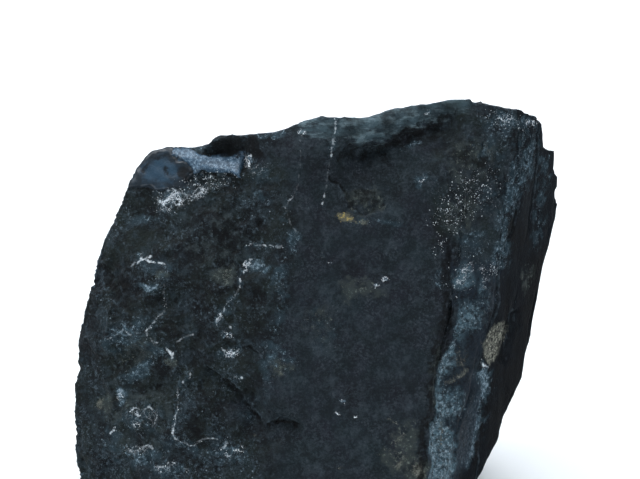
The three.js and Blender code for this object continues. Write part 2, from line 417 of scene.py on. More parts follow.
GLASSY_STRIP = [
    (-31.2, 90.6), (-28.4, 90.6), (-27.1, 89.7), (-26, 89), (-21.3, 88.7), (-18.3, 88.9), (-15.8, 89.9),
    (-16.2, 87), (-16.9, 84.6), (-19.3, 85.6), (-25.2, 85.8), *reversed(SHELL_RIM),
]
GLASSY_SHELL = [
    (-43, 82.3), (-40, 88), (-37.5, 91), (-33.5, 92.6), (-31.5, 91.4), *SHELL_RIM, (-28.6, 83.6),
    (-30.2, 82), (-33.5, 81.6), (-38, 81.8),
]
# The two places between which each zone fades, in mm if nothing else is said.
COAT_STARTS, COAT_ENDS = (-0.5, 0.9), (-3.5, 4)  # across from its left line and its right one
COAT_TOP = (54, 76)  # up the face
SHELL_BACK = (-18, -14)  # below 0, so behind the face
FLANK_FROM = (22, 32)  # across the face
FLANK_TURN = (0.35, 0.75)  # how squarely the surface faces right: 1 is straight
FOOT = (0.15, 1.6)  # above the ground
LEAST_CALM = 0.12  # even a glassy break keeps a little swell
print("points on the coat's two lines:", len(COAT_LEFT + COAT_RIGHT), "and the rough edge:", len(ROUGH_EDGE))

# %% Zones that the relief and the finish share
def across_at(line, heights):
    """The x of a line that runs down the face, at each height."""
    x, y = np.array(line[::-1], float).T
    return np.interp(heights, y, x)


def zones(mesh):
    """The zones of the stone's surface, each as one number for each point."""
    points = coordinates(mesh)
    local = to_face(points)
    seen = seen_on_face(points)
    ahead = front(mesh)
    firm = wandered(points, seen, "crisp")

    near = smooth_step(local[:, 2], *SHELL_BACK)
    strip = within(firm, GLASSY_STRIP, soft=0.4) * front(mesh, "strip") * near
    shell = within(firm, GLASSY_SHELL, soft=0.4) * ahead * near
    glassy = np.maximum(strip, shell)

    x, y = wandered(points, seen, "steady").T
    left, right = across_at(COAT_LEFT, y), across_at(COAT_RIGHT, y)
    coat = smooth_step(x, left + COAT_STARTS[0], left + COAT_STARTS[1])
    coat *= 1 - smooth_step(x, right + COAT_ENDS[0], right + COAT_ENDS[1])
    coat *= (1 - smooth_step(y, *COAT_TOP)) * front(mesh, "coat")
    flank = smooth_step(normals(mesh)[:, 0], *FLANK_TURN) * smooth_step(local[:, 0], *FLANK_FROM)
    flank *= 1 - coat

    loose = wandered(points, seen, "torn")
    edge = across_at(ROUGH_EDGE, loose[:, 1])
    torn = 1 - smooth_step(loose[:, 0], edge - ROUGH_FADE, edge + ROUGH_FADE)
    rough = np.where(ahead > 0.5, torn, 0.0) * ahead + ROUGH_BACK * (1 - ahead)
    rough = np.maximum(rough, heaped(loose, ROUGH_SPOTS, soft=0.35) * ahead)
    rough = np.where(flank > 0.5, ROUGH_FLANK, rough) * (1 - glassy)
    return {
        "seen": seen, "firm": firm, "ahead": ahead, "flank": flank, "coat": coat, "rough": rough,
        "glassy": glassy, "strip": strip, "shell": shell, "foot": smooth_step(points[:, 2] / MM, *FOOT),
    }


zone = zones(stone.data)
zone["calm"] = np.maximum(LEAST_CALM, 1 - zone["glassy"])
for name in ("rough", "calm", "coat", "flank"):
    store(stone.data, name, zone[name] * zone["foot"])
    print(f"{name}: {100 * zone[name].mean():.1f}% of the surface")

# %% [markdown]
# ## Relief: shells on shells
# Where the rock broke roughly, its surface is a crowd of shallow dishes that meet in sharp rims, some 5 mm
# wide with others of 2 mm inside them. A Voronoi texture gives just that: the square of the distance to the
# nearest cell's middle is a dish. The flank parted in upright sheets instead, which a stretched noise gives.
# Geometry Nodes push each point in along its normal by that much, so all of the relief is real shape, and
# holds in every light. A displacement in the material would not be part of the mesh.

# %% Kinds of relief
# Softening and relief both eat into the stone, so it is grown first, by these millimetres.
GROWTH = 0.55
FLANK_GROWTH = 1.5
FLANK_GROWN_BELOW = (60, 80)  # mm up the face
RELIEF = {
    # width and depth of each kind of mark in mm
    "Dish": (5.6, 1.15), "Chip": (2.3, 0.5), "Grain": (1.0, 0.16), "Swell": (9.0, 0.5), "Crust": (1.6, 0.45),
    "Sheet": (9.0, 1.5),
}
LAYERS = [
    # the zone that carries the layer, its kind of mark, and the pattern
    ("rough", "Dish", "dishes"), ("rough", "Chip", "dishes"), ("rough", "Chip", "noise"),
    ("rough", "Grain", "noise"), ("calm", "Swell", "noise"), ("calm", "Grain", "noise"),
    ("coat", "Crust", "noise"), ("flank", "Sheet", "sheets"),
]
print("kinds of relief:", list(RELIEF), "in", len(LAYERS), "layers")

# %% The relief tree
def relief_tree():
    kinds = {f"{mark} {side}": float for mark in RELIEF for side in ("width", "depth")}
    tree, sizes = geometry_tree("broken relief", kinds | {"Patch width": float, "Seed": int})
    place = add(tree, "GeometryNodeInputPosition")
    seed = add(tree, "ShaderNodeMath", {0: sizes["Seed"], 1: 0.013}, operation="MULTIPLY")
    shifted = add(tree, "ShaderNodeVectorMath", {0: place, 1: seed}, operation="ADD")

    # The dishes' middles are pulled about by a slower noise, so that no two dishes are alike.
    slow = add(tree, "ShaderNodeMath", {0: 0.9, 1: sizes["Dish width"]}, operation="DIVIDE")
    bend = add(tree, "ShaderNodeTexNoise", {"Vector": shifted, "Scale": slow, "Detail": 3.0}, output="Color")
    reach = add(tree, "ShaderNodeMath", {0: sizes["Dish width"], 1: 1.5}, operation="MULTIPLY")
    pull = add(tree, "ShaderNodeVectorMath", {0: bend, "Scale": reach}, operation="SCALE")
    warped = add(tree, "ShaderNodeVectorMath", {0: shifted, 1: pull}, operation="ADD")

    # Rough rock comes in patches, with calmer ground between them.
    wide = add(tree, "ShaderNodeMath", {0: 1.0, 1: sizes["Patch width"]}, operation="DIVIDE")
    patches = add(tree, "ShaderNodeTexNoise", {"Vector": shifted, "Scale": wide, "Detail": 2.0})
    uneven = add(tree, "ShaderNodeMapRange", {
        "Value": patches, "From Min": 0.36, "From Max": 0.64, "To Min": 0.3,
    })

    # Sheets run up the flank, so their noise is stretched six times that way.
    upright = add(tree, "ShaderNodeVectorMath", {0: shifted, 1: (1.0, 1.0, 1 / 6)}, operation="MULTIPLY")

    grounds = {"dishes": warped, "noise": shifted, "sheets": upright}
    details = {"noise": 4.0, "sheets": 2.0}
    total = None
    for carrier, mark, pattern in LAYERS:
        scale = add(tree, "ShaderNodeMath", {0: 1.0, 1: sizes[mark + " width"]}, operation="DIVIDE")
        ground = {"Vector": grounds[pattern], "Scale": scale}
        if pattern == "dishes":
            away = add(tree, "ShaderNodeTexVoronoi", ground, output="Distance")
            rise = add(tree, "ShaderNodeMath", {0: away, 1: 2.0}, operation="POWER")
            # Deepest in the dish's middle, and nothing about 0.7 of its width away.
            hollow = add(tree, "ShaderNodeMath", {0: rise, 1: -1.6, 2: 0.8}, operation="MULTIPLY_ADD")
        else:
            hollow = add(tree, "ShaderNodeTexNoise", ground | {"Detail": details[pattern], "Roughness": 0.55})
        deep = add(tree, "ShaderNodeMath", {0: hollow, 1: sizes[mark + " depth"]}, operation="MULTIPLY")
        share = add(tree, "GeometryNodeInputNamedAttribute", {"Name": carrier}, data_type="FLOAT")
        if carrier == "rough":
            share = add(tree, "ShaderNodeMath", {0: share, 1: uneven}, operation="MULTIPLY")
        total = add(tree, "ShaderNodeMath", {0: deep, 1: share, 2: total or 0.0}, operation="MULTIPLY_ADD")

    outwards = add(tree, "GeometryNodeInputNormal")
    back = add(tree, "ShaderNodeMath", {0: total, 1: -1.0}, operation="MULTIPLY")
    inwards = add(tree, "ShaderNodeVectorMath", {0: outwards, "Scale": back}, operation="SCALE")
    moved = add(tree, "GeometryNodeSetPosition", {"Geometry": sizes["Geometry"], "Offset": inwards})
    finish_tree(tree, moved)
    return tree


# %% Grow the stone, and run the relief
def push_in(mesh, depths):
    """Moves each point in along its normal, by millimetres."""
    points = coordinates(mesh)
    set_coordinates(mesh, points - normals(mesh) * depths[:, None] * MM)


low_flank = zone["flank"] * (1 - smooth_step(zone["seen"][:, 1], *FLANK_GROWN_BELOW))
grown = GROWTH + (FLANK_GROWTH - GROWTH) * low_flank
push_in(stone.data, -grown * zone["foot"])
relief_sizes = {"Patch width": 11.0 * MM, "Seed": 5}
for mark, (width, depth) in RELIEF.items():
    relief_sizes[mark + " width"] = width * MM
    relief_sizes[mark + " depth"] = depth * MM
run_tree(stone, relief_tree(), relief_sizes)
print("relief:", {name: round(size / MM, 2) for name, size in relief_sizes.items() if name != "Seed"})

# %% [markdown]
# ## Ledges, ripples and cracks
# Some marks stand in one place each, so they're pushed in with arrays and not with nodes. A ledge is a crack
# that let the rock on one side of it drop away: deep at the crack and rising back over a few millimetres.
# Ripples ring the point where a shell was struck off, as they do in broken bottle glass.

# %% Ledges and ripples
LEDGES = [
    # line on the face, depth, reach and width of the lip in mm. Below 0, the dropped side is the other one.
    ([(-25, 42.5), (-22.2, 40.9), (-19.4, 39.4), (-16.5, 36.1), (-13.4, 32.1), (-12.1, 29.8)], 1.1, 5, 0.45),
    ([(-12.1, 29.5), (-7.9, 30.8), (-5.5, 30.6), (-3.3, 29.3)], 0.5, 2.6, 0.4),
    ([(-19, 46.5), (-15, 47.5), (-12, 45.5)], 0.5, 3.5, 0.5),
    ([(4.2, 90.6), (12.8, 91.4), (18.3, 92.7), (22.1, 94.4), (26, 96.3), (31.9, 99.2)], 0.8, 4, 1.4),
    ([(1.8, 85.3), (5.6, 80.3), (7.3, 77), (10, 75.4), (14.4, 77), (16.1, 79.8)], -0.7, 4, 1.1),
    (COAT_LEFT[::-1], -0.6, 2.2, 0.8),
    ([(42.9, 56), (41.1, 49.1), (40.3, 45.9), (40, 42.4)], -0.9, 2.5, 0.4),
]
RIPPLES = [
    # struck point on the face, from and to, spacing and height in mm, and the oval that they show in
    ((22, 92), 5, 17, 2.6, 0.07, ((10.4, 83.6), (13, 9.4))),
    ((-31, 91), 1, 13, 2.9, 0.10, ((-35, 85), (5.4, 4.4))),
    ((2, 104), 6, 30, 2.8, 0.12, ((17, 98), (20, 6))),
]
RIPPLE_STARTS, RIPPLE_ENDS = 3, 4  # mm over which the rings rise and die out
RIPPLE_WAVER = 0.6  # how far a ring strays, in radians of its wave
RIDGE_HEIGHT, RIDGE_HALF = 0.3, 1.6  # mm
HAZE_RIDGE = [(-6.4, 84), (-6.8, 69.3), (-7.3, 57.2), (-9, 49.5), (-11.2, 43.3), (-10.8, 36.3), (-10.3, 30.8)]


def marks(seen, ahead):
    """How deep the ledges and ripples go at each point, in mm. The hazy ridge stands up, so it is below 0."""
    depth = np.zeros(len(seen))
    for line, drop, reach, lip in LEDGES:
        away, along = from_line(seen, line)
        dropped = away if drop < 0 else -away
        fall = smooth_step(dropped, -lip / 2, lip / 2) * (1 - smooth_step(dropped, 0, reach))
        depth += abs(drop) * fall * tapered(along, share=0.12)
    for struck, start, end, spacing, height, (centre, radii) in RIPPLES:
        away = np.linalg.norm(seen - np.array(struck), axis=1)
        share = smooth_step(away, start, start + RIPPLE_STARTS)
        share *= 1 - smooth_step(away, end - RIPPLE_ENDS, end)
        wave = 0.5 + 0.5 * np.cos(away * 2 * math.pi / spacing + RIPPLE_WAVER * np.sin(seen[:, 0]))
        depth += height * wave * share * oval(seen, centre, radii, turn=0, soft=0.35)
    away, along = from_line(seen, HAZE_RIDGE)
    depth -= RIDGE_HEIGHT * np.exp(-((away / RIDGE_HALF) ** 2)) * tapered(along, share=0.1)
    return depth * ahead


single = marks(zone["firm"], zone["ahead"])
print("deepest ledge or ripple, mm:", round(float(single.max()), 2))

# %% [markdown]
# ## Seams down the flank
# The flank's sheets parted at old joints, which show as broken dark lines down it. Each runs at its own
# distance behind the face, strays with a slow noise and a fine one, and is open only where a third lets it.

# %% Seams, and all the single marks pushed in
SEAMS = [
    # the seam's z on the face's axes and its depth in mm, and the share of its length that is open
    (-3.2, 0.3, 0.45), (-8.5, 0.5, 0.55), (-16, 0.4, 0.5), (-25.5, 0.45, 0.5),
]
SEAM_FROM, SEAM_TURN = (20, 30), (0.4, 0.75)  # as FLANK_FROM and FLANK_TURN
SEAM_DROPS, SEAM_RISES = (-0.25, 0.2), (0.2, 2.6)  # mm in front of the seam's line
SEAM_FADE = 0.15  # half the share over which an open stretch closes
EVERYWHERE = 1e9  # mm: a noise with lumps this wide doesn't change that way
DRIFT, DRIFT_LUMPS = 5, (EVERYWHERE, 17, 60)  # mm that a seam strays, and the lumps that sway it
CHATTER, CHATTER_LUMPS = 0.9, 2.2  # the same, finely
OPEN_LUMPS, OPEN_START = (EVERYWHERE, 14, 3.5), (7, 0, 0)  # the lumps that open it, and where they start


def seams(mesh):
    """How deep the seams go at each point, in mm."""
    local = to_face(coordinates(mesh))
    flank = smooth_step(normals(mesh)[:, 0], *SEAM_TURN) * smooth_step(local[:, 0], *SEAM_FROM)
    drift = DRIFT * noise_at(local / DRIFT_LUMPS)
    chatter = CHATTER * noise_at(local / CHATTER_LUMPS)
    open_at = noise_at(local / OPEN_LUMPS + OPEN_START) + 0.5
    depth = np.zeros(len(local))
    for z, deep, share in SEAMS:
        away = local[:, 2] - z - drift - chatter
        lip = smooth_step(away, *SEAM_DROPS) * (1 - smooth_step(away, *SEAM_RISES))
        depth += deep * lip * smooth_step(open_at, 1 - share - SEAM_FADE, 1 - share + SEAM_FADE)
    return depth * flank


single += seams(stone.data)
push_in(stone.data, single * zone["foot"])
print("deepest single mark, mm:", round(float(single.max()), 2))

# %% [markdown]
# ## Keeping the mesh light
# The even mesh is finer than it needs to be on the back and where the surface is calm. Decimate collapses the
# edges that matter least, and a vertex group makes it spare the front, which holds the finest marks.

# %% Thin the mesh, and keep it in its box
MOST_TRIANGLES = 188_000
FRONT_SPARED = 0.75  # how much less the front is thinned than the back

before = sum(len(face.vertices) - 2 for face in stone.data.polygons)
spare = stone.vertex_groups.new(name="may be thinned")
levels = (1 - FRONT_SPARED * front(stone.data)).round(1)
for level in np.unique(levels):
    chosen = np.flatnonzero(levels == level)
    spare.add(chosen.tolist(), float(level), "REPLACE")
thin = stone.modifiers.new("thin", "DECIMATE")
thin.ratio = MOST_TRIANGLES / before
thin.vertex_group = spare.name
thin.use_collapse_triangulate = True
bake(stone)
stone.vertex_groups.clear()

low, high = (np.array(corner) for corner in cad_box)
set_coordinates(stone.data, np.clip(coordinates(stone.data), low, high))
stone.data.shade_smooth()
print("triangles:", before, "thinned to", len(stone.data.polygons))

# %% [markdown]
# ## Veins
# What healed the cracks in the rock is quartz, as white threads 0.1 to 0.6 mm wide. Each vein is a line on
# the face, with a few points where it bends. They could be drawn by a noise too, but then they would lie
# anywhere, and on a real stone they follow its cracks.

# %% Where the veins run
VEINS = [
    # line on the face, width in mm, how white it starts and how white it ends
    ([(4.3, 98.2), (4.2, 95.7), (3.7, 92.4), (2.9, 88.6)], 0.44, 0.9, 0.6),
    ([(2.9, 88.6), (2.4, 85.3), (1.8, 81)], 0.16, 0.2, 0.08),
    ([(2, 81.6), (1.6, 79.8), (1.1, 78.2)], 0.28, 0.4, 0.8),
    ([(-3.7, 92.4), (-3.4, 88.7), (-4.5, 81.4)], 0.14, 0.18, 0.12),
    ([(-4.5, 81.4), (-6, 79.2), (-7.2, 77.6)], 0.24, 0.35, 0.5),
    ([(-6.7, 77.1), (-5.9, 74.1), (-4.4, 72.2), (-5.3, 70.4)], 0.18, 0.2, 0.2),
    ([(-39.2, 66.9), (-38.4, 66.2), (-37.6, 66.3), (-36.9, 65.6), (-35.4, 65.6), (-33.6, 65)], 0.4, 1, 0.8),
    ([(-40.9, 64.6), (-40.3, 65.4)], 0.4, 0.8, 0.9),
    ([(-39.4, 65.4), (-38.7, 66.2), (-38.6, 67)], 0.36, 0.8, 0.9),
    ([(-37.5, 66.4), (-36.6, 66.9)], 0.3, 0.8, 0.5),
    ([(-33.8, 60.6), (-33.8, 57.3), (-33.2, 56.5), (-33.6, 55.1), (-34.2, 54)], 0.28, 0.35, 0.7),
    ([(-34.2, 54), (-35.3, 53.1), (-35.9, 52), (-36.9, 51.2), (-37.8, 50.4)], 0.5, 1, 0.9),
    ([(-38.1, 50), (-41.3, 49.4), (-42.7, 50.4), (-44.7, 49.2), (-46.4, 48.4)], 0.34, 0.35, 0.4),
    ([(-37.8, 50.2), (-37.2, 48.9), (-36, 47.6), (-34.4, 47.7)], 0.34, 0.4, 0.55),
    ([(-33.4, 46.7), (-32.6, 45.6), (-32.1, 45)], 0.42, 0.6, 1),
    ([(-31.6, 45.6), (-32.1, 45), (-32.2, 43.4)], 0.3, 0.9, 0.5),
    ([(-31.1, 47.7), (-30.1, 48.6), (-29.1, 49), (-27.5, 49.4)], 0.3, 0.35, 0.45),
    ([(-15.2, 68.9), (-14.6, 69.5), (-13.4, 69.4), (-11.9, 69.1), (-7.5, 68.9)], 0.34, 0.7, 0.7),
    ([(-14.4, 66.3), (-15, 65.6), (-15.2, 64.7), (-15.4, 64), (-16.1, 63.2)], 0.5, 0.85, 1),
    ([(-17.1, 61.9), (-16.9, 61), (-17, 60), (-17.3, 59.2)], 0.26, 0.9, 0.5),
    ([(-17.3, 59.2), (-18.9, 57.1), (-20.2, 55.7), (-20.5, 54.9), (-21.3, 54.1)], 0.34, 0.4, 0.6),
    ([(-21.3, 54.1), (-21.6, 53), (-22.2, 52)], 0.6, 1, 1),
    ([(-19.5, 51.4), (-19.1, 50.9), (-18.6, 51.6)], 0.35, 0.7, 0.7),
    ([(-20.9, 46.1), (-20.1, 45.3), (-18.5, 45.3), (-17.5, 45.9)], 0.5, 0.8, 0.9),
    ([(-18.3, 39.7), (-17.9, 40.3), (-17, 39.4), (-16.5, 40)], 0.36, 0.6, 0.9),
    ([(-28.1, 40.7), (-28.3, 39.7), (-29.5, 39.1), (-31, 37.4), (-30.7, 34.4)], 0.24, 0.6, 0.4),
    ([(-30.7, 34.4), (-30.9, 32.8), (-31.4, 31.3), (-31.6, 29.9), (-32, 28.5)], 0.24, 0.5, 0.9),
    ([(-32, 28.5), (-31.9, 27.1), (-31.3, 26.2), (-30.1, 25.4), (-27.5, 24.7)], 0.36, 1, 0.9),
    ([(-27.5, 24.7), (-26.4, 25.4), (-24.6, 26.4), (-22.2, 26.1)], 0.3, 0.4, 0.8),
    ([(-20.3, 25.4), (-20.5, 24.4), (-21.3, 24)], 0.65, 1, 1),
    ([(-20.3, 22.8), (-19.9, 22.3), (-18.9, 22.2)], 0.5, 1, 0.9),
    ([(-41.3, 32.6), (-40.1, 33.2), (-39.7, 32.5), (-40.1, 31.7), (-39.5, 31.1)], 0.42, 0.9, 0.7),
    ([(-38.3, 31.7), (-38.5, 32.8), (-37, 33.3), (-35.4, 31.1), (-36.6, 28.9)], 0.34, 0.5, 0.5),
    ([(-44.8, 28.9), (-45.2, 28.1), (-45.7, 27.3)], 0.4, 0.8, 0.9),
    ([(-42.5, 24.6), (-42.1, 23.6), (-39.5, 23.6), (-38.1, 24.4), (-37.4, 24.8), (-36.4, 24)], 0.4, 0.6, 0.5),
    ([(-35.6, 19.9), (-33.6, 20.1), (-33, 21.1), (-31.7, 20.6)], 0.4, 0.6, 0.9),
    ([(-29.9, 19.7), (-28.9, 19.3), (-28.7, 18.9)], 0.45, 0.9, 0.9),
    ([(-32.5, 81.3), (-31.5, 81.5), (-30.3, 80.7), (-29.3, 80.7), (-28.3, 79.7)], 0.5, 0.8, 1),
    ([(-34.6, 78.9), (-33.8, 77.9), (-33.2, 78.9), (-32.3, 79.7), (-30.6, 80.6)], 0.55, 0.9, 0.9),
    ([(-31.7, 79.3), (-31.1, 78.3), (-30.3, 78.3), (-29.9, 79.7)], 0.5, 0.8, 0.8),
    ([(-27.1, 79.7), (-26, 80.5), (-25.2, 81.7), (-24.6, 80.7)], 0.45, 0.7, 0.7),
    ([(36.5, 43.1), (36.8, 42.4), (37.6, 42.2)], 0.45, 0.9, 0.9),
]
print("veins:", len(VEINS))

# %% [markdown]
# ## Crusts and haze of quartz
# Where a crack was open wider, the quartz grew as a crust of tiny crystals, with a thin pale haze of it
# around. A pale sweep is painted along the bevel at the top of the face, too, as the light from above that
# falls on it. Each is a soft oval or a streak, as thick as its last number says. Only its heart is placed
# here, and noise frays its edge later.

# %% Where crusts and haze lie
CRUSTS = [
    # x and y on the face, half width and half height in mm, turn, and how thickly quartz lies
    (-32.1, 79, 3, 2, 20, 0.45), (-26.2, 80.8, 2.8, 1.3, 25, 0.3), (-15.4, 64.9, 0.9, 1.1, 0, 0.7),
    (-19, 45.2, 1.6, 1, 0, 0.5), (-43.6, 35.6, 0.9, 0.9, 0, 0.4), (-40.4, 31.9, 2, 1.4, 0, 0.2),
    (-37, 31.2, 2, 2.2, 0, 0.15), (-40.1, 29.3, 1.2, 0.8, 0, 0.4), (-39.6, 23.8, 3.2, 1, 0, 0.22),
    (-17.3, 23.8, 1.2, 1, 0, 0.35), (-34.2, 19.6, 2.2, 1, 0, 0.22), (-15, 87.8, 0.7, 1.6, -10, 0.9),
    (-12.8, 85.8, 1.8, 1, 0, 0.2), (-19.6, 49.3, 1.2, 0.6, -10, 0.4), (15, 61.5, 0.6, 0.5, 20, 1),
    (13.1, 60.5, 0.6, 0.4, 0, 0.8), (5.8, 34.5, 0.7, 0.4, 0, 0.9), (4.3, 31.9, 0.5, 0.4, 0, 0.8),
    (8.6, 31, 0.4, 0.4, 0, 0.8), (-3.3, 94, 0.9, 0.7, 0, 0.5), (24.4, 98.5, 0.8, 0.4, 20, 0.9),
    (41.2, 97, 2, 0.6, -10, 0.6), (46.9, 96.1, 1.1, 0.6, 0, 0.6), (23, 83.7, 1, 0.4, 27, 0.5),
    (32.4, 62.8, 1.2, 3.2, -28, 0.36), (37.6, 64.1, 2, 0.7, 5, 0.3), (37.1, 60.8, 0.7, 1.6, 0, 0.25),
    (1.9, 65.9, 1.2, 0.4, -15, 0.5),
]
HAZES = [
    # as in CRUSTS
    (-32.8, 63, 1.3, 2.2, -15, 0.6), (-37, 64.5, 6, 2.8, 0, 0.35), (-36.7, 59.4, 2.3, 0.7, 6, 1.5),
    (-42, 49.8, 6, 3.4, 20, 0.7), (-35.5, 46, 3.4, 2, -25, 0.6), (-38.8, 42.2, 5, 2, 48, 0.75),
    (-43.5, 35.9, 1.3, 1.2, 20, 1.5), (-38.6, 31, 4.6, 3.6, 0, 0.55), (-30, 31, 2.4, 8, 0, 0.3),
    (-39, 22.4, 5.6, 2.4, 0, 0.75), (-33.2, 19.4, 4.4, 2.2, 0, 0.6), (-29.6, 24.6, 5.2, 1.6, -12, 0.5),
    (-19.4, 23.4, 5.6, 2.6, 0, 0.6), (-45, 24, 4.5, 9, 0, 0.35), (-37.6, 75, 3.4, 1.2, 0, 0.5),
    (-31.5, 79.6, 3.6, 2.4, 20, 0.4), (-12.8, 79.8, 3, 1.4, 0, 0.5), (-12.8, 65, 1.8, 0.8, 0, 1.1),
    (-20, 49.4, 2, 1, 0, 0.6), (-18.7, 45.4, 2.6, 1.6, 0, 0.7), (-5.6, 70.2, 1.9, 2.4, 0, 0.7),
    (-7.7, 62.5, 1.4, 3.4, 0, 0.65), (-8.6, 44.6, 2.8, 4.6, 20, 0.6), (-16, 32.2, 1.8, 3.2, 20, 0.45),
    (26.8, 61.7, 1.1, 1.8, -15, 0.7), (34.6, 69.5, 4.6, 3.4, 0, 0.5), (38, 80.5, 4, 4.6, -30, 0.35),
    (41, 95.6, 6, 3, -20, 0.8), (45.6, 96, 2.6, 1, -15, 0.7), (20.5, 91.4, 2.2, 0.8, 10, 0.8),
    (22.8, 83.9, 2.4, 1, 27, 0.6), (-25, 91.2, 2.4, 1.2, 20, 0.7), (-10.6, 93.8, 3.2, 0.7, 8, 0.8),
    (13, 74.6, 5.6, 0.9, -4, 0.5), (1, 52, 5, 7, 30, 0.25), (-12, 85, 4, 2.4, 0, 0.4),
    (38, 90, 7, 4, -20, 0.4),
]
HAZE_STREAKS = [
    # line on the face, half width in mm, and density
    (HAZE_RIDGE, 1.7, 0.4), ([(-17.3, 59.6), (-19, 57), (-20.4, 54.8), (-22, 52)], 1.2, 0.6),
]
FLANK_HAZES = [
    ([(47, 94), (45.8, 88), (43.8, 82.3), (42.5, 78.8), (41.1, 75)], 2.6, 0.65),
    ([(41.5, 78), (40.5, 73.9), (40.9, 71.3), (40.5, 68.6), (39, 62)], 2.2, 0.7),
    ([(49.5, 92), (50, 84), (48.5, 76), (48, 66)], 1.4, 0.45),
    ([(36.4, 44), (36.8, 38.1), (36.4, 35.6), (35.6, 34.3), (34.4, 30), (32, 18)], 1.8, 1.2),
]
# painted light: a pale sweep on the up-facing bevel, for the light from above that falls on it
BEVEL_LIGHT = [
    ([(-6, 95.3), (6, 95.8), (13, 96.6)], 4, 0.5), ([(6, 95), (14, 97.4), (24, 100)], 5, 1),
    ([(18, 98.6), (26, 100.6), (34, 103)], 5.5, 0.7),
]
print("crusts:", len(CRUSTS), "hazes:", len(HAZES + HAZE_STREAKS + FLANK_HAZES + BEVEL_LIGHT))

# %% [markdown]
# ## The coat, the iron, the fresh rock and painted shade
# The coat on the old joint is thickest in a few places. Iron left brown-green films and a few ochre and tan
# stains. Some rock is blacker than the rest, where it broke lately. Black is also painted as shade where the
# rock lies deep in a crack, under a ledge or the bevel, and along the steps of the coat and the flank.

# %% Where the stains, the dark rock and the painted shade are
COAT_LIGHTS = [
    # where the pale coat lies thickest, as in CRUSTS
    (33.4, 52.8, 4.4, 3.8, 20, 0.6), (30.1, 34.1, 3.4, 3.2, 0, 0.55), (26.8, 20.4, 3.6, 9, 0, 1.1),
    (34.8, 68.2, 5, 3.4, 0, 0.4), (38.1, 57.9, 2.4, 4.5, 0, 0.5), (32.2, 62.6, 2.2, 4, -25, 0.8),
    (28.6, 46.5, 2.6, 5, 0, 0.6),
]
COAT_RIM = [([(30.2, 54), (29.7, 50.6), (27, 42.4), (26.8, 31.4), (24.9, 27.4), (24.9, 10)], 1.3, 0.75)]
OLIVES = [
    (-20.4, 62.6, 2.8, 2, 20, 1), (-47.1, 33.5, 1.5, 1.8, 0, 0.9), (-32, 43.5, 1.6, 1.2, -20, 1.1),
    (9.6, 59.4, 5, 2.4, 0, 0.7), (6.2, 61, 1.6, 1.2, 0, 0.7), (0.4, 52, 3.6, 4, 0, 0.5),
    (-8.4, 41.6, 2.6, 1.8, 0, 0.7), (31, 43, 2.6, 3.4, 20, 0.9), (31.5, 76, 3.5, 5, -20, 0.6),
    (11, 79, 4.4, 2.6, 0, 0.8), (19, 24, 3.5, 6, -30, 0.85), (34, 88, 6, 5, 0, 0.6),
    (46.6, 62, 1.2, 4, -10, 0.8), (22.5, 19, 3, 4, 0, 0.9), (-34, 62.4, 3, 1, 0, 0.7),
    (-40, 30, 9, 10, 0, 0.35), (-40, 46, 6, 4, 30, 0.5), (-22, 70, 9, 8, 0, 0.3), (26, 40, 1.2, 8, 0, 0.6),
]
OCHRES = [(6.1, 75.4, 1.7, 1, -20, 1), (9, 74.4, 2.2, 0.5, 0, 0.4)]
TANS = [
    (9.5, 74.3, 3.2, 0.6, -4, 0.4), (22.6, 19.2, 1.4, 2.2, 20, 0.7), (5.3, 19.6, 0.8, 0.5, 0, 0.6),
    (-8.2, 41, 0.8, 0.5, -40, 0.5), (-13.9, 27, 0.5, 0.4, 0, 0.6), (-20.2, 62.4, 1.6, 1.3, 20, 0.42),
    (37.2, 89.5, 1, 2.4, -10, 0.35), (-48, 34, 1, 1.4, 0, 0.5), (31.7, 44.3, 1.6, 2.4, 20, 0.4),
]
TAN_STREAKS = [
    ([(28, 37.8), (28.6, 38.6), (30.5, 39.8), (32.1, 40.4), (33.7, 42.2)], 0.7, 0.6),
    ([(15.6, 31), (17, 30.2), (18.3, 28.8)], 0.6, 0.45), ([(16.8, 25), (18.4, 26.4), (19.8, 27.4)], 0.7, 0.5),
    ([(17, 19), (18.4, 20.8), (20.4, 22.6)], 0.8, 0.5), ([(27.2, 31), (27.6, 26.5), (27, 23)], 0.7, 0.45),
]
TAN_PATCH = [
    (36.6, 47.9), (38, 50.2), (39.8, 52.2), (41.9, 52.2), (41.5, 49.1), (40.3, 47.1), (39.4, 44.1),
    (38.2, 42.9), (37, 44),
]
SHADE_AND_BLACK_SPOTS = [
    # painted shade where walls and ledges turn from the light, and fresh rock, blacker than the rest
    (-19.2, 91.4, 4.2, 2.2, 0, 1.6), (-14.2, 91.4, 1.2, 3.2, 0, 1.6), (44.6, 71, 2.2, 5, 10, 0.8),
    (36, 86.5, 2.6, 3, 0, 0.8), (29.6, 68, 1.8, 4, 15, 0.6), (-24, 70, 7, 4, 20, 0.5),
    (-26, 58, 4, 5, 0, 0.6), (-13, 57, 3, 6, 0, 0.6), (-26, 33, 4, 5, 0, 0.5), (43.5, 92.5, 2, 2.6, 0, 0.8),
    (10, 89.2, 9, 2.6, 6, 0.5), (10.8, 79.4, 4.4, 2.2, 0, 0.6), (-29.2, 85.4, 2.2, 1.2, -30, 1),
    (-43, 60, 5, 6, 0, 0.6), (-27.6, 27.4, 3, 1.6, 0, 0.8), (-36, 57, 3, 1.2, 0, 0.7),
    (-33, 49.6, 3, 1.6, 0, 0.8),
]
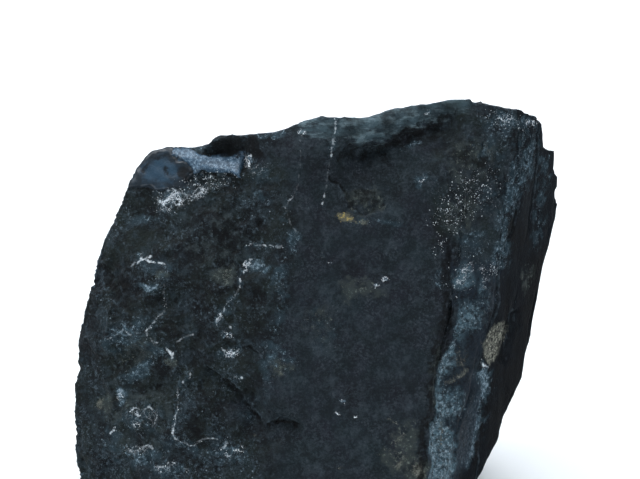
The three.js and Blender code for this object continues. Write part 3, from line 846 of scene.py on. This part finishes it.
# painted shade: dark bands where a step, a ledge, the bevel or the shell's rim turns from the light
SHADE_STREAKS = [
    ([(30.4, 76), (28.2, 64), (28.4, 54), (25.4, 43), (25, 31), (23.2, 28), (23.2, 10)], 1, 0.9),
    ([(10, 90.4), (18.3, 92.3), (22.1, 94), (26, 95.9), (31, 98.6)], 1.6, 0.7),
    ([(42.6, 66), (42, 56), (41.1, 49.1), (40.3, 45.9), (40, 42.4), (37, 30), (33.5, 16)], 0.7, 0.9),
    ([(-38.6, 84.4), (-37, 87), (-35.4, 88.5), (-33.4, 88.9), (-31.5, 88.7), (-28.7, 87.4)], 0.6, 0.9),
    ([(-33.9, 86.6), (-32.1, 84.3), (-31.7, 83)], 0.6, 0.9),
    ([(-22.2, 40.3), (-19.4, 38.6), (-16.5, 35.4), (-13.4, 31.4), (-12.1, 29.2)], 0.8, 0.8),
    ([(-12.1, 28.9), (-7.9, 30.2), (-5.5, 30), (-3.3, 28.8)], 0.4, 0.8),
]
# painted shade: a dark band beside the edge of a sheet down the flank
FLANK_SHADE_STREAKS = [
    ([(50.5, 72), (47.8, 57), (46.4, 49.8), (45.5, 44), (43.5, 40), (41.7, 34), (38, 20)], 2.4, 1.4),
]
SHELL_GLEAM_SPOT = ((-35.2, 85), (4, 3.4), 20, 0.7)  # a bluish gleam in the shell: centre, radii, turn and softness
print("stains:", len(OLIVES + OCHRES + TANS + TAN_STREAKS), "dark places:", len(SHADE_AND_BLACK_SPOTS + SHADE_STREAKS))

# %% [markdown]
# ## Everything stored on the points
# Each vein is stored as its distance in mm, less half the vein's own width. That distance runs evenly across
# a triangle, so the material can cut a crisp thread from it even where the thread is thinner than the
# triangle. Painting the colour on the points would blur it. The rest changes slowly, so its own density is
# stored. Rims that stand proud are stored as well, because wear leaves them pale, and so are the hollows,
# which the material paints darker as shade.

# %% Worn rims
SHARPEST = 0.25  # a rim that stands this far out of its neighbours, for each mm to them, is fully worn


def worn_edges(mesh):
    """How proud each point stands of its neighbours, from -1 in a hollow to 1 on a rim."""
    points = coordinates(mesh)
    ends = np.empty(len(mesh.edges) * 2, np.int32)
    mesh.edges.foreach_get("vertices", ends)
    first, second = ends.reshape(-1, 2).T
    span = points[second] - points[first]
    pull = np.zeros_like(points)
    np.add.at(pull, first, span)
    np.add.at(pull, second, -span)
    length = np.bincount(first, np.linalg.norm(span, axis=1), len(points))
    length += np.bincount(second, np.linalg.norm(span, axis=1), len(points))
    proud = -(pull * normals(mesh)).sum(axis=1) / np.maximum(length, 1e-9)
    return np.clip(proud / SHARPEST, -1, 1)


mesh = stone.data
worn = worn_edges(mesh)
print("points on a rim:", int((worn > 0.5).sum()), "and in a hollow:", int((worn < -0.5).sum()))

# %% Distances from the veins
NO_VEIN = 9.0  # mm, where none is near
THICK_LUMPS = 1.1 * MM  # width of the lumps of the noise that a vein swells and thins with
HALF, SWELL = 0.28, 0.40  # a vein's half width and how far it swells and thins, as shares of its width

zone = zones(mesh)
places = coordinates(mesh)
ahead = zone["ahead"]
loose = wandered(places, zone["seen"], "frayed")
threads = wandered(places, zone["seen"], "fine")
thick = noise_at(places / THICK_LUMPS)
vein, whiteness = np.full(len(ahead), NO_VEIN), np.zeros(len(ahead))
for line, width, first, last in VEINS:
    away, along = from_line(threads, line)
    gap = np.abs(away) - width * (HALF + SWELL * thick)
    nearer = gap < vein
    vein = np.where(nearer, gap, vein)
    whiteness = np.where(nearer, first + (last - first) * along, whiteness)
print("points on a vein:", int((vein < 0).sum()))

# %% Store them all
CLUMPS = 7 * MM  # width of the clumps that pale specks gather in
THIN_COAT = 0.15  # how densely the coat lies between its lights
VEIN_HAZE, HAZE_REACH = 0.6, 1.3  # how dense the haze round a vein is, and how many mm it reaches

clumps = smooth_step(noise_at(places / CLUMPS), -0.15, 0.3)
crust = heaped(threads, CRUSTS, soft=0.4) * ahead
haze = np.maximum(heaped(loose, HAZES, soft=0.9), streaked(loose, HAZE_STREAKS))
haze = np.maximum(haze, VEIN_HAZE * np.clip(1 - vein / HAZE_REACH, 0, 1) * whiteness) * ahead
tan = np.maximum(heaped(threads, TANS, soft=0.8), streaked(threads, TAN_STREAKS)) * ahead
# painted shade by the ledges, steps and walls, with spots of blacker fresh rock
shade_and_black_rock = np.maximum(heaped(loose, SHADE_AND_BLACK_SPOTS), streaked(threads, SHADE_STREAKS)) * ahead
bloom = np.clip(heaped(loose, COAT_LIGHTS, soft=0.5) + streaked(loose, COAT_RIM) + THIN_COAT, 0, 1)
for name, values in {
    "rough": zone["rough"],
    "speckled": zone["rough"] * (0.25 + 0.75 * clumps),
    "glassy": zone["glassy"],
    "strip": zone["strip"],
    "shell": zone["shell"],
    "shell_gleam": zone["shell"] * oval(zone["firm"], *SHELL_GLEAM_SPOT),
    "coat": zone["coat"],
    "bloom": zone["coat"] * bloom,
    "flank": zone["flank"],
    "bevel_light": streaked(zone["firm"], BEVEL_LIGHT) * front(mesh, "bevel_light"),
    "calm": 1 - zone["glassy"],
    "haze": np.maximum(haze, streaked(loose, FLANK_HAZES) * front(mesh, "flank haze")),
    "crust": crust,
    "olive": heaped(loose, OLIVES) * front(mesh, "olive"),
    "ochre": heaped(threads, OCHRES) * ahead,
    "tan": np.maximum(tan, 0.9 * within(zone["firm"], TAN_PATCH, soft=0.9) * front(mesh, "tan patch")),
    # painted shade, with blacker fresh rock; the flank's band is painted shade only
    "shade_and_black_rock": np.maximum(shade_and_black_rock, streaked(zone["firm"], FLANK_SHADE_STREAKS) * front(mesh, "flank dark")),
    "vein": np.where(ahead > 0.3, vein, NO_VEIN),
    "whiteness": whiteness,
    "worn": np.clip(worn, 0, 1),
    # painted shade: the hollows are painted darker, as shade falls in them
    "hollow": np.clip(-worn, 0, 1),
}.items():
    store(mesh, name, values)
    print(f"{name}: {values.min():.2f} to {values.max():.2f}")

# %% [markdown]
# ## Black silica
# The stone is cryptocrystalline quartz, black with carbon: an IOR of 1.54, no metal, and a dull broken
# surface, with a glassy one where a shell came off lately. Its black is a cool one. What lies on it comes as
# coverings, and each is one row below: the zone that carries it, its colour, the pattern that breaks it up,
# and how far, how softly and how densely it covers the zone. One big painted picture of the stone would only
# be right from one side.

# %% Colours, and the coverings
def linear(code):
    """A colour given as sRGB hex, as linear RGBA."""
    parts = [int(code[i:i + 2], 16) / 255 for i in (1, 3, 5)]
    return tuple(v / 12.92 if v <= 0.04045 else ((v + 0.055) / 1.055) ** 2.4 for v in parts) + (1.0,)


COVERINGS = [
    # zone, colour, pattern, its width in mm, how much of the zone it fills, softness of its edge, most cover
    ("calm", "#1E1E28", "cloud", 9.0, 0.55, 0.90, 0.50),
    ("calm", "#1B2A2E", "cloud", 6.0, 0.50, 0.90, 0.50),
    ("calm", "#3E4A51", "grit", 4.0, 0.34, 0.50, 0.50),
    ("calm", "#0A0D10", "cloud", 3.0, 0.35, 0.70, 0.45),
    # painted light on the up-facing bevel
    ("bevel_light", "#495D65", "sweep", 3.0, 0.90, 0.90, 0.88),
    ("bevel_light", "#7C9097", "sweep", 1.6, 0.50, 0.60, 0.70),
    ("rough", "#050709", "cloud", 4.5, 0.85, 0.90, 0.82),
    ("rough", "#1E2722", "cloud", 7.0, 0.45, 0.90, 0.50),
    # painted shade in the hollows
    ("hollow", "#030506", "cloud", 1.2, 0.90, 0.60, 0.80),
    ("rough", "#36454E", "grit", 2.6, 0.30, 0.60, 0.55),
    ("speckled", "#566772", "grit", 0.8, 0.30, 0.25, 0.65),
    ("speckled", "#8C9CA7", "speck", 0.8, 0.26, 0.20, 0.65),
    ("speckled", "#C2D0DA", "speck", 1.6, 0.12, 0.10, 0.75),
    ("worn", "#4C5B64", "cloud", 0.8, 0.60, 0.60, 0.40),
    ("flank", "#04090F", "streak", 5.0, 1.30, 0.90, 0.90),
    ("olive", "#3C4442", "cloud", 2.6, 0.80, 0.80, 0.65),
    ("olive", "#848C84", "grit", 0.9, 0.32, 0.35, 0.55),
    ("haze", "#2C3E47", "cloud", 2.4, 0.85, 0.80, 0.75),
    ("haze", "#5C737F", "grit", 1.4, 0.50, 0.45, 0.70),
    ("haze", "#A9BAC6", "grit", 0.7, 0.32, 0.30, 0.70),
    ("coat", "#17212B", "streak", 4.0, 1.10, 0.60, 0.85),
    ("bloom", "#3A4F59", "streak", 2.6, 0.92, 0.70, 0.90),
    ("bloom", "#5F7A86", "grit", 1.8, 0.50, 0.45, 0.80),
    ("bloom", "#A5B8C2", "grit", 0.7, 0.38, 0.30, 0.75),
    ("coat", "#0A0E12", "grit", 1.2, 0.42, 0.30, 0.80),
    ("shell", "#1A242C", "cloud", 3.0, 2.00, 0.30, 0.95),
    # painted reflection: a bluish gleam where the shell mirrors the light
    ("shell_gleam", "#2D4557", "cloud", 3.0, 1.00, 1.00, 0.95),
    # painted reflection: the glassy strip faces up, and its pale blue stands for the bright light it mirrors
    ("strip", "#33495B", "cloud", 2.0, 2.00, 0.40, 0.95),
    ("strip", "#647E93", "grit", 1.2, 0.46, 0.60, 0.80),
    ("strip", "#A6BBCB", "grit", 0.6, 0.30, 0.30, 0.65),
    ("ochre", "#6B6957", "grit", 0.9, 0.85, 0.35, 0.65),
    ("ochre", "#9C8C58", "cloud", 0.6, 0.42, 0.30, 0.95),
    ("tan", "#676960", "grit", 1.6, 0.85, 0.55, 0.90),
    ("tan", "#C4C2B2", "grit", 0.6, 0.42, 0.25, 0.80),
    ("tan", "#15181A", "grit", 1.0, 0.50, 0.25, 0.90),
    # painted shade in cracks and under ledges, and blacker fresh rock
    ("shade_and_black_rock", "#06080A", "cloud", 1.5, 0.80, 0.80, 0.85),
    ("crust", "#6F8492", "grit", 1.0, 0.60, 0.50, 0.60),
    ("crust", "#F2F7FB", "thread", 1.8, 0.26, 0.14, 0.95),
    ("grains", "#78888F", "speck", 0.6, 0.62, 0.30, 0.60),
]
MIXED = {"output": 2, "data_type": "RGBA"}  # a Mix node that mixes colours: 0 the share, 6 and 7 the two
PATTERNS = {
    # detail and roughness of the noise, and how much the pattern is stretched along each axis
    "cloud": (4.0, 0.62, (1, 1, 1)),
    "grit": (7.0, 0.85, (1, 1, 1)),
    "thread": (4.0, 0.60, (1, 1, 1)),
    "speck": (0.0, 0.00, (1, 1, 1)),
    "streak": (5.0, 0.70, (1, 1, 0.3)),
    "sweep": (5.0, 0.70, (0.3, 1, 1)),
}
print("coverings:", len(COVERINGS), "in", len({covering[0] for covering in COVERINGS}), "zones")

# %% [markdown]
# ## The black ground
# The rock itself changes slowly from near black to a cool dark grey. Pale quartz dust lies on it
# everywhere. The finest is a few hundredths of a millimetre, and is drawn ten times as coarse, to show.

# %% The ground
def new_material(name):
    made = bpy.data.materials.new(name)
    made.use_nodes = True
    made.node_tree.nodes.clear()
    return made, made.node_tree


def ground(tree, place):
    """The colour of the bare rock and the dust on it."""
    broad = add(tree, "ShaderNodeTexNoise", {
        "Vector": place, "Scale": 1 / (10 * MM), "Detail": 9.0, "Roughness": 0.72,
    })
    tone = add(tree, "ShaderNodeMapRange", {"Value": broad, "From Min": 0.32, "From Max": 0.68})
    colour = add(tree, "ShaderNodeMix", {0: tone, 6: linear("#0D1114"), 7: linear("#222A31")}, **MIXED)
    dust = add(tree, "ShaderNodeTexNoise", {
        "Vector": place, "Scale": 1 / (0.6 * MM), "Detail": 2.0, "Roughness": 0.7,
    })
    dusty = add(tree, "ShaderNodeMapRange", {
        "Value": dust, "From Min": 0.5, "From Max": 0.66, "To Max": 0.55,
    })
    return add(tree, "ShaderNodeMix", {0: dusty, 6: colour, 7: linear("#48535B")}, **MIXED)


# %% [markdown]
# ## The coverings
# A loop lays one covering over another, in the order that they lie on the rock. Each adds its pattern to its
# zone and shows where the sum is above 1, so that it is closed in the heart of the zone and breaks up into
# flecks towards its edge, as dust and crusts do.

# %% The coverings laid over the ground
def covered(tree, place, colour):
    """The colour with every covering over it."""
    for carrier, shade, pattern, width, fill, soft, most in COVERINGS:
        share = add(tree, "ShaderNodeAttribute", output="Fac", attribute_name=carrier)
        detail, roughness, stretch = PATTERNS[pattern]
        along = add(tree, "ShaderNodeVectorMath", {0: place, 1: stretch}, operation="MULTIPLY")
        if pattern == "speck":
            # Each cell draws a number, and the cells that draw high hold a round grain.
            away = add(tree, "ShaderNodeTexVoronoi", {"Vector": along, "Scale": 1 / (width * MM)})
            drawn = add(tree, "ShaderNodeSeparateXYZ", {0: away.node.outputs["Color"]})
            value = add(tree, "ShaderNodeMath", {0: away, 1: -1.2, 2: drawn}, operation="MULTIPLY_ADD")
        else:
            value = add(tree, "ShaderNodeTexNoise", {
                "Vector": along, "Scale": 1 / (width * MM), "Detail": detail, "Roughness": roughness,
            })
        if pattern == "thread":
            # A noise crosses its middle value along thin wandering lines, and those are the threads.
            centred = add(tree, "ShaderNodeMath", {0: value, 1: 0.5}, operation="SUBTRACT")
            off = add(tree, "ShaderNodeMath", {0: centred}, operation="ABSOLUTE")
            value = add(tree, "ShaderNodeMath", {0: off, 1: -8.0, 2: 1.0}, operation="MULTIPLY_ADD")
        elif pattern != "speck":
            # Noise keeps close to its middle value, so it is spread out to run from 0 to 1.
            value = add(tree, "ShaderNodeMath", {0: value, 1: 3.1, 2: -1.05}, operation="MULTIPLY_ADD")
        reached = add(tree, "ShaderNodeMath", {0: share, 1: fill, 2: value}, operation="MULTIPLY_ADD")
        cover = add(tree, "ShaderNodeMapRange", {
            "Value": reached, "From Min": 1 - soft / 2, "From Max": 1 + soft / 2, "To Max": most,
        }, interpolation_type="SMOOTHSTEP")
        # Where the zone isn't, its covering isn't either, however high the pattern runs.
        kept = add(tree, "ShaderNodeMapRange", {"Value": share, "From Max": 0.4})
        shown = add(tree, "ShaderNodeMath", {0: cover, 1: kept}, operation="MULTIPLY")
        colour = add(tree, "ShaderNodeMix", {0: shown, 6: colour, 7: linear(shade)}, **MIXED)
    return colour


# %% [markdown]
# ## The white threads
# The veins swell, fade and break along their length, as healed cracks do. One noise is added to the distance
# from the vein, which moves the thread's edge in and out, and a wider one fades whole stretches of it.

# %% The veins laid over the coverings
def veined(tree, place, colour):
    """The colour with the white threads over it."""
    gap = add(tree, "ShaderNodeAttribute", output="Fac", attribute_name="vein")
    wander = add(tree, "ShaderNodeTexNoise", {"Vector": place, "Scale": 1 / (0.8 * MM), "Detail": 3.0})
    uneven = add(tree, "ShaderNodeMath", {0: wander, 1: 0.9, 2: -0.45}, operation="MULTIPLY_ADD")
    edge = add(tree, "ShaderNodeMath", {0: gap, 1: uneven}, operation="ADD")
    inside = add(tree, "ShaderNodeMapRange", {"Value": edge, "From Min": 0.12, "From Max": -0.10})
    white = add(tree, "ShaderNodeAttribute", output="Fac", attribute_name="whiteness")
    thread = add(tree, "ShaderNodeMath", {0: inside, 1: white}, operation="MULTIPLY")
    fade = add(tree, "ShaderNodeTexNoise", {"Vector": place, "Scale": 1 / (1.7 * MM), "Detail": 2.0})
    strong = add(tree, "ShaderNodeMapRange", {
        "Value": fade, "From Min": 0.40, "From Max": 0.58, "To Min": 0.2,
    })
    thread = add(tree, "ShaderNodeMath", {0: thread, 1: strong}, operation="MULTIPLY")
    return add(tree, "ShaderNodeMix", {0: thread, 6: colour, 7: linear("#E8F0F6")}, **MIXED)


# %% [markdown]
# ## Dull and glassy
# Glassy breaks shine like a skin of glass, which the shader's coat gives. The rest is dull, with grains of
# 0.45 mm, and dullest of all on the flank's weathered sheets. The same grains are a fine bump, about half as
# high on the glassy breaks.

# %% The surface, and the whole material
def surface(tree, place):
    """How fresh the break is, its roughness, and its normal with the fine bump."""
    glassy = add(tree, "ShaderNodeAttribute", output="Fac", attribute_name="glassy")
    fresh = add(tree, "ShaderNodeMapRange", {
        "Value": glassy, "From Min": 0.6, "From Max": 0.95, "To Max": 0.5,
    }, interpolation_type="SMOOTHSTEP")
    grain = add(tree, "ShaderNodeTexNoise", {"Vector": place, "Scale": 1 / (0.45 * MM), "Detail": 4.0})
    dull = add(tree, "ShaderNodeMapRange", {
        "Value": grain, "From Min": 0.3, "From Max": 0.7, "To Min": 0.56, "To Max": 0.82,
    })
    sheer = add(tree, "ShaderNodeAttribute", output="Fac", attribute_name="flank")
    dull = add(tree, "ShaderNodeMath", {0: sheer, 1: 0.4, 2: dull}, operation="MULTIPLY_ADD", use_clamp=True)
    gloss = add(tree, "ShaderNodeMix", {0: fresh, 2: dull, 3: 0.35}, data_type="FLOAT")
    height = add(tree, "ShaderNodeMath", {0: fresh, 1: -0.9, 2: 1.0}, operation="MULTIPLY_ADD")
    bumps = add(tree, "ShaderNodeMath", {0: grain, 1: height}, operation="MULTIPLY")
    normal = add(tree, "ShaderNodeBump", {"Height": bumps, "Strength": 1.0, "Distance": 0.28 * MM})
    return fresh, gloss, normal


def black_silica():
    made, tree = new_material("black_silica")
    place = add(tree, "ShaderNodeTexCoord", output="Object")
    colour = veined(tree, place, covered(tree, place, ground(tree, place)))
    fresh, gloss, normal = surface(tree, place)
    shader = add(tree, "ShaderNodeBsdfPrincipled", {
        "Base Color": colour, "Roughness": gloss, "Normal": normal, "IOR": 1.54, "Specular IOR Level": 0.14,
        "Coat Weight": fresh, "Coat Roughness": 0.2, "Coat IOR": 1.54,
    })
    add(tree, "ShaderNodeOutputMaterial", {"Surface": shader})
    return made


mesh.materials.clear()
mesh.materials.append(black_silica())
print("material:", mesh.materials[0].name, "with", len(mesh.materials[0].node_tree.nodes), "nodes")

# %% [markdown]
# ## Grains of quartz
# The crusts are crowds of crystals, each 0.1 to 0.4 mm wide, which catch the light one by one. Geometry
# Nodes scatter one small crystal of twenty faces over the crusts and the coated joint, each turned and sized
# by the seed. A texture could draw them as dots, but not as facets that glint.

# %% The crystal and how it is scattered
def grain_tree(material):
    tree, sizes = geometry_tree("quartz grains", {
        "Stone": bpy.types.Object, "Per square metre": float, "Grain width": float, "Seed": int,
    })
    ground = add(tree, "GeometryNodeObjectInfo", {"Object": sizes["Stone"]}, output="Geometry")
    density = add(tree, "GeometryNodeInputNamedAttribute", {"Name": "grains"}, data_type="FLOAT")
    thickly = add(tree, "ShaderNodeMath", {0: density, 1: sizes["Per square metre"]}, operation="MULTIPLY")
    spread = add(tree, "GeometryNodeDistributePointsOnFaces", {
        "Mesh": ground, "Density": thickly, "Seed": sizes["Seed"],
    }, output="Points", distribute_method="RANDOM")
    crystal = add(tree, "GeometryNodeMeshIcoSphere", {"Radius": 0.5, "Subdivisions": 1}, output="Mesh")
    whole = (2 * math.pi,) * 3
    turn = add(tree, "FunctionNodeRandomValue", {1: whole, "Seed": sizes["Seed"]}, data_type="FLOAT_VECTOR")
    # Most grains are small, so the number drawn for each is raised to the third power.
    drawn = add(tree, "FunctionNodeRandomValue", {"Seed": sizes["Seed"]}, output=1, data_type="FLOAT")
    skewed = add(tree, "ShaderNodeMath", {0: drawn, 1: 3.0}, operation="POWER")
    size = add(tree, "ShaderNodeMath", {0: skewed, 1: 0.75, 2: 0.25}, operation="MULTIPLY_ADD")
    wide = add(tree, "ShaderNodeMath", {0: size, 1: sizes["Grain width"]}, operation="MULTIPLY")
    scale = add(tree, "ShaderNodeVectorMath", {0: (1.0, 0.85, 0.7), "Scale": wide}, operation="SCALE")
    grains = add(tree, "GeometryNodeInstanceOnPoints", {
        "Points": spread, "Instance": crystal, "Rotation": turn, "Scale": scale,
    })
    finish_tree(tree, grains, material)
    return tree


def quartz():
    """Clear to milky quartz, grown as tiny crystals: IOR 1.54, glossy faces, white where it is cloudy."""
    made, tree = new_material("quartz")
    place = add(tree, "ShaderNodeTexCoord", output="Object")
    cloud = add(tree, "ShaderNodeTexNoise", {"Vector": place, "Scale": 1 / (0.8 * MM), "Detail": 2.0})
    milky = add(tree, "ShaderNodeMapRange", {"Value": cloud, "From Min": 0.38, "From Max": 0.62})
    colour = add(tree, "ShaderNodeMix", {0: milky, 6: linear("#47555D"), 7: linear("#EAF1F5")}, **MIXED)
    shader = add(tree, "ShaderNodeBsdfPrincipled", {"Base Color": colour, "Roughness": 0.3, "IOR": 1.54})
    add(tree, "ShaderNodeOutputMaterial", {"Surface": shader})
    return made


# %% Scatter the grains
SPARKLES = [
    # where loose crystals lie, as in CRUSTS
    (34, 81, 4.4, 5.6, -25, 0.6), (29.6, 76.6, 3.4, 4.4, -30, 0.8), (27, 70, 1.4, 3, -10, 0.5),
    (31.5, 62, 3, 4, -15, 0.3), (38, 64, 3, 1.6, 0, 0.5), (-24, 83.2, 5.3, 1.9, 8, 0.7),
    (-31, 79.5, 4.4, 2.4, 20, 0.6), (41, 97, 4, 1.4, -15, 0.6),
]
ON_CRUSTS, ON_VEINS, LOOSE = 0.6, 0.3, 0.8  # how thickly crystals lie on each, as a share of the most
VEIN_REACH = 0.4  # mm to each side of a vein's edge

near_vein = np.clip(1 - np.abs(vein) / VEIN_REACH, 0, 1) * whiteness**2 * ahead
sparkling = heaped(threads, SPARKLES, soft=0.7) * (0.15 + 0.85 * smooth_step(thick, -0.1, 0.35))
thickly = ON_CRUSTS * crust**2 + ON_VEINS * near_vein + LOOSE * sparkling * ahead
store(mesh, "grains", np.clip(thickly, 0, 1))
grains = object_of("quartz_grains", bpy.data.meshes.new("quartz_grains"))
run_tree(grains, grain_tree(quartz()), {
    "Stone": stone,
    "Per square metre": 1.7e7,
    "Grain width": 0.37 * MM,
    "Seed": 11,
})
set_coordinates(grains.data, np.clip(coordinates(grains.data), low, high))
print("grains' triangles:", len(grains.data.polygons))

# %% [markdown]
# ## Floor and light
# The stone stands on a pale sheet that sweeps up behind it, as in a small studio. A wide soft light hangs
# over it. A smaller one to its left and one high on its right keep its shadow on the sheet thin. The room in
# front is left dim: black stone shows what it reflects, and a bright room would turn it grey.

# %% The sheet and the lamps
def pale_sheet():
    """A floor that rises in a quarter round into a wall behind the stone, as one strip of quads."""
    half, start, bend, top = 3.0, 1.4, 0.8, 3.0
    profile = [(-half, 0.0), (start, 0.0)]
    for angle in np.linspace(0.1, math.pi / 2, 14):
        profile.append((start + bend * math.sin(angle), bend - bend * math.cos(angle)))
    profile.append((start + bend, top))
    made = bpy.data.meshes.new("pale_sheet")
    points = [(x, y, z) for y, z in profile for x in (-half, half)]
    quads = [(2 * i, 2 * i + 1, 2 * i + 3, 2 * i + 2) for i in range(len(profile) - 1)]
    made.from_pydata(points, [], quads)
    made.shade_smooth()
    return object_of("pale_sheet", made)


def paper():
    """Matt white card: a plain diffuse surface with hardly any gloss."""
    made, tree = new_material("white_card")
    shader = add(tree, "ShaderNodeBsdfPrincipled", {
        "Base Color": linear("#F6F8F9"), "Roughness": 0.9, "Specular IOR Level": 0.1,
    })
    add(tree, "ShaderNodeOutputMaterial", {"Surface": shader})
    return made


LAMPS = [
    # name, place and what it points at in m, width in m, watts, colour
    ("overhead", (0, 0.5, 1.9), (0, 0.3, 0), 3.2, 66, "#F7FBFF"),
    ("left", (-0.9, -0.1, 0.9), (0, 0, 0.05), 0.7, 7.5, "#F2F8FF"),
    ("right", (0.5, 0.2, 1.4), (0.15, 0, 0), 0.8, 7.5, "#F2F8FF"),
]


def lamp(name, place, aim, size, watts, colour):
    light = bpy.data.lights.new(name, "AREA")
    light.size = size
    light.energy = watts
    light.color = linear(colour)[:3]
    made = object_of(name, light)
    made.location = place
    made.rotation_euler = (Vector(aim) - Vector(place)).to_track_quat("-Z", "Y").to_euler()


sheet = pale_sheet()
sheet.data.materials.append(paper())
for settings in LAMPS:
    lamp(*settings)
world = bpy.data.worlds.new("dim_room")
world.use_nodes = True
world.node_tree.nodes["Background"].inputs["Color"].default_value = linear("#4C5258")
bpy.context.scene.world = world
bpy.context.scene.view_settings.view_transform = "Standard"
print("lamps:", [lamp_row[0] for lamp_row in LAMPS])

# %% [markdown]
# ## Camera
# A lens of about 92 mm from a third of a metre away keeps the stone's sides nearly parallel.

# %% Set the camera
SENSOR = 36.0  # mm
VIEW_WIDTH = 140.8  # mm that the view takes in at the point looked at

camera = object_of("camera", bpy.data.cameras.new("camera"))
camera.data.sensor_width = SENSOR
camera.data.lens = SENSOR * EYE_AWAY / VIEW_WIDTH
camera.data.clip_start = 0.01
camera.location = EYE
camera.rotation_euler = Vector(-EYE_DIRECTION).to_track_quat("-Z", "Y").to_euler()
bpy.context.scene.camera = camera
print("lens, mm:", round(camera.data.lens, 2))

# %% [markdown]
# ## Tie the pieces to the frame
# Both pieces ride on the stone's one body, and the dressed stone stands for the plain solid, which is hidden.

# %% Ride and replace
for piece, slot in ((stone, "black_silica"), (grains, "quartz")):
    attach(piece, "root")
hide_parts("stone")
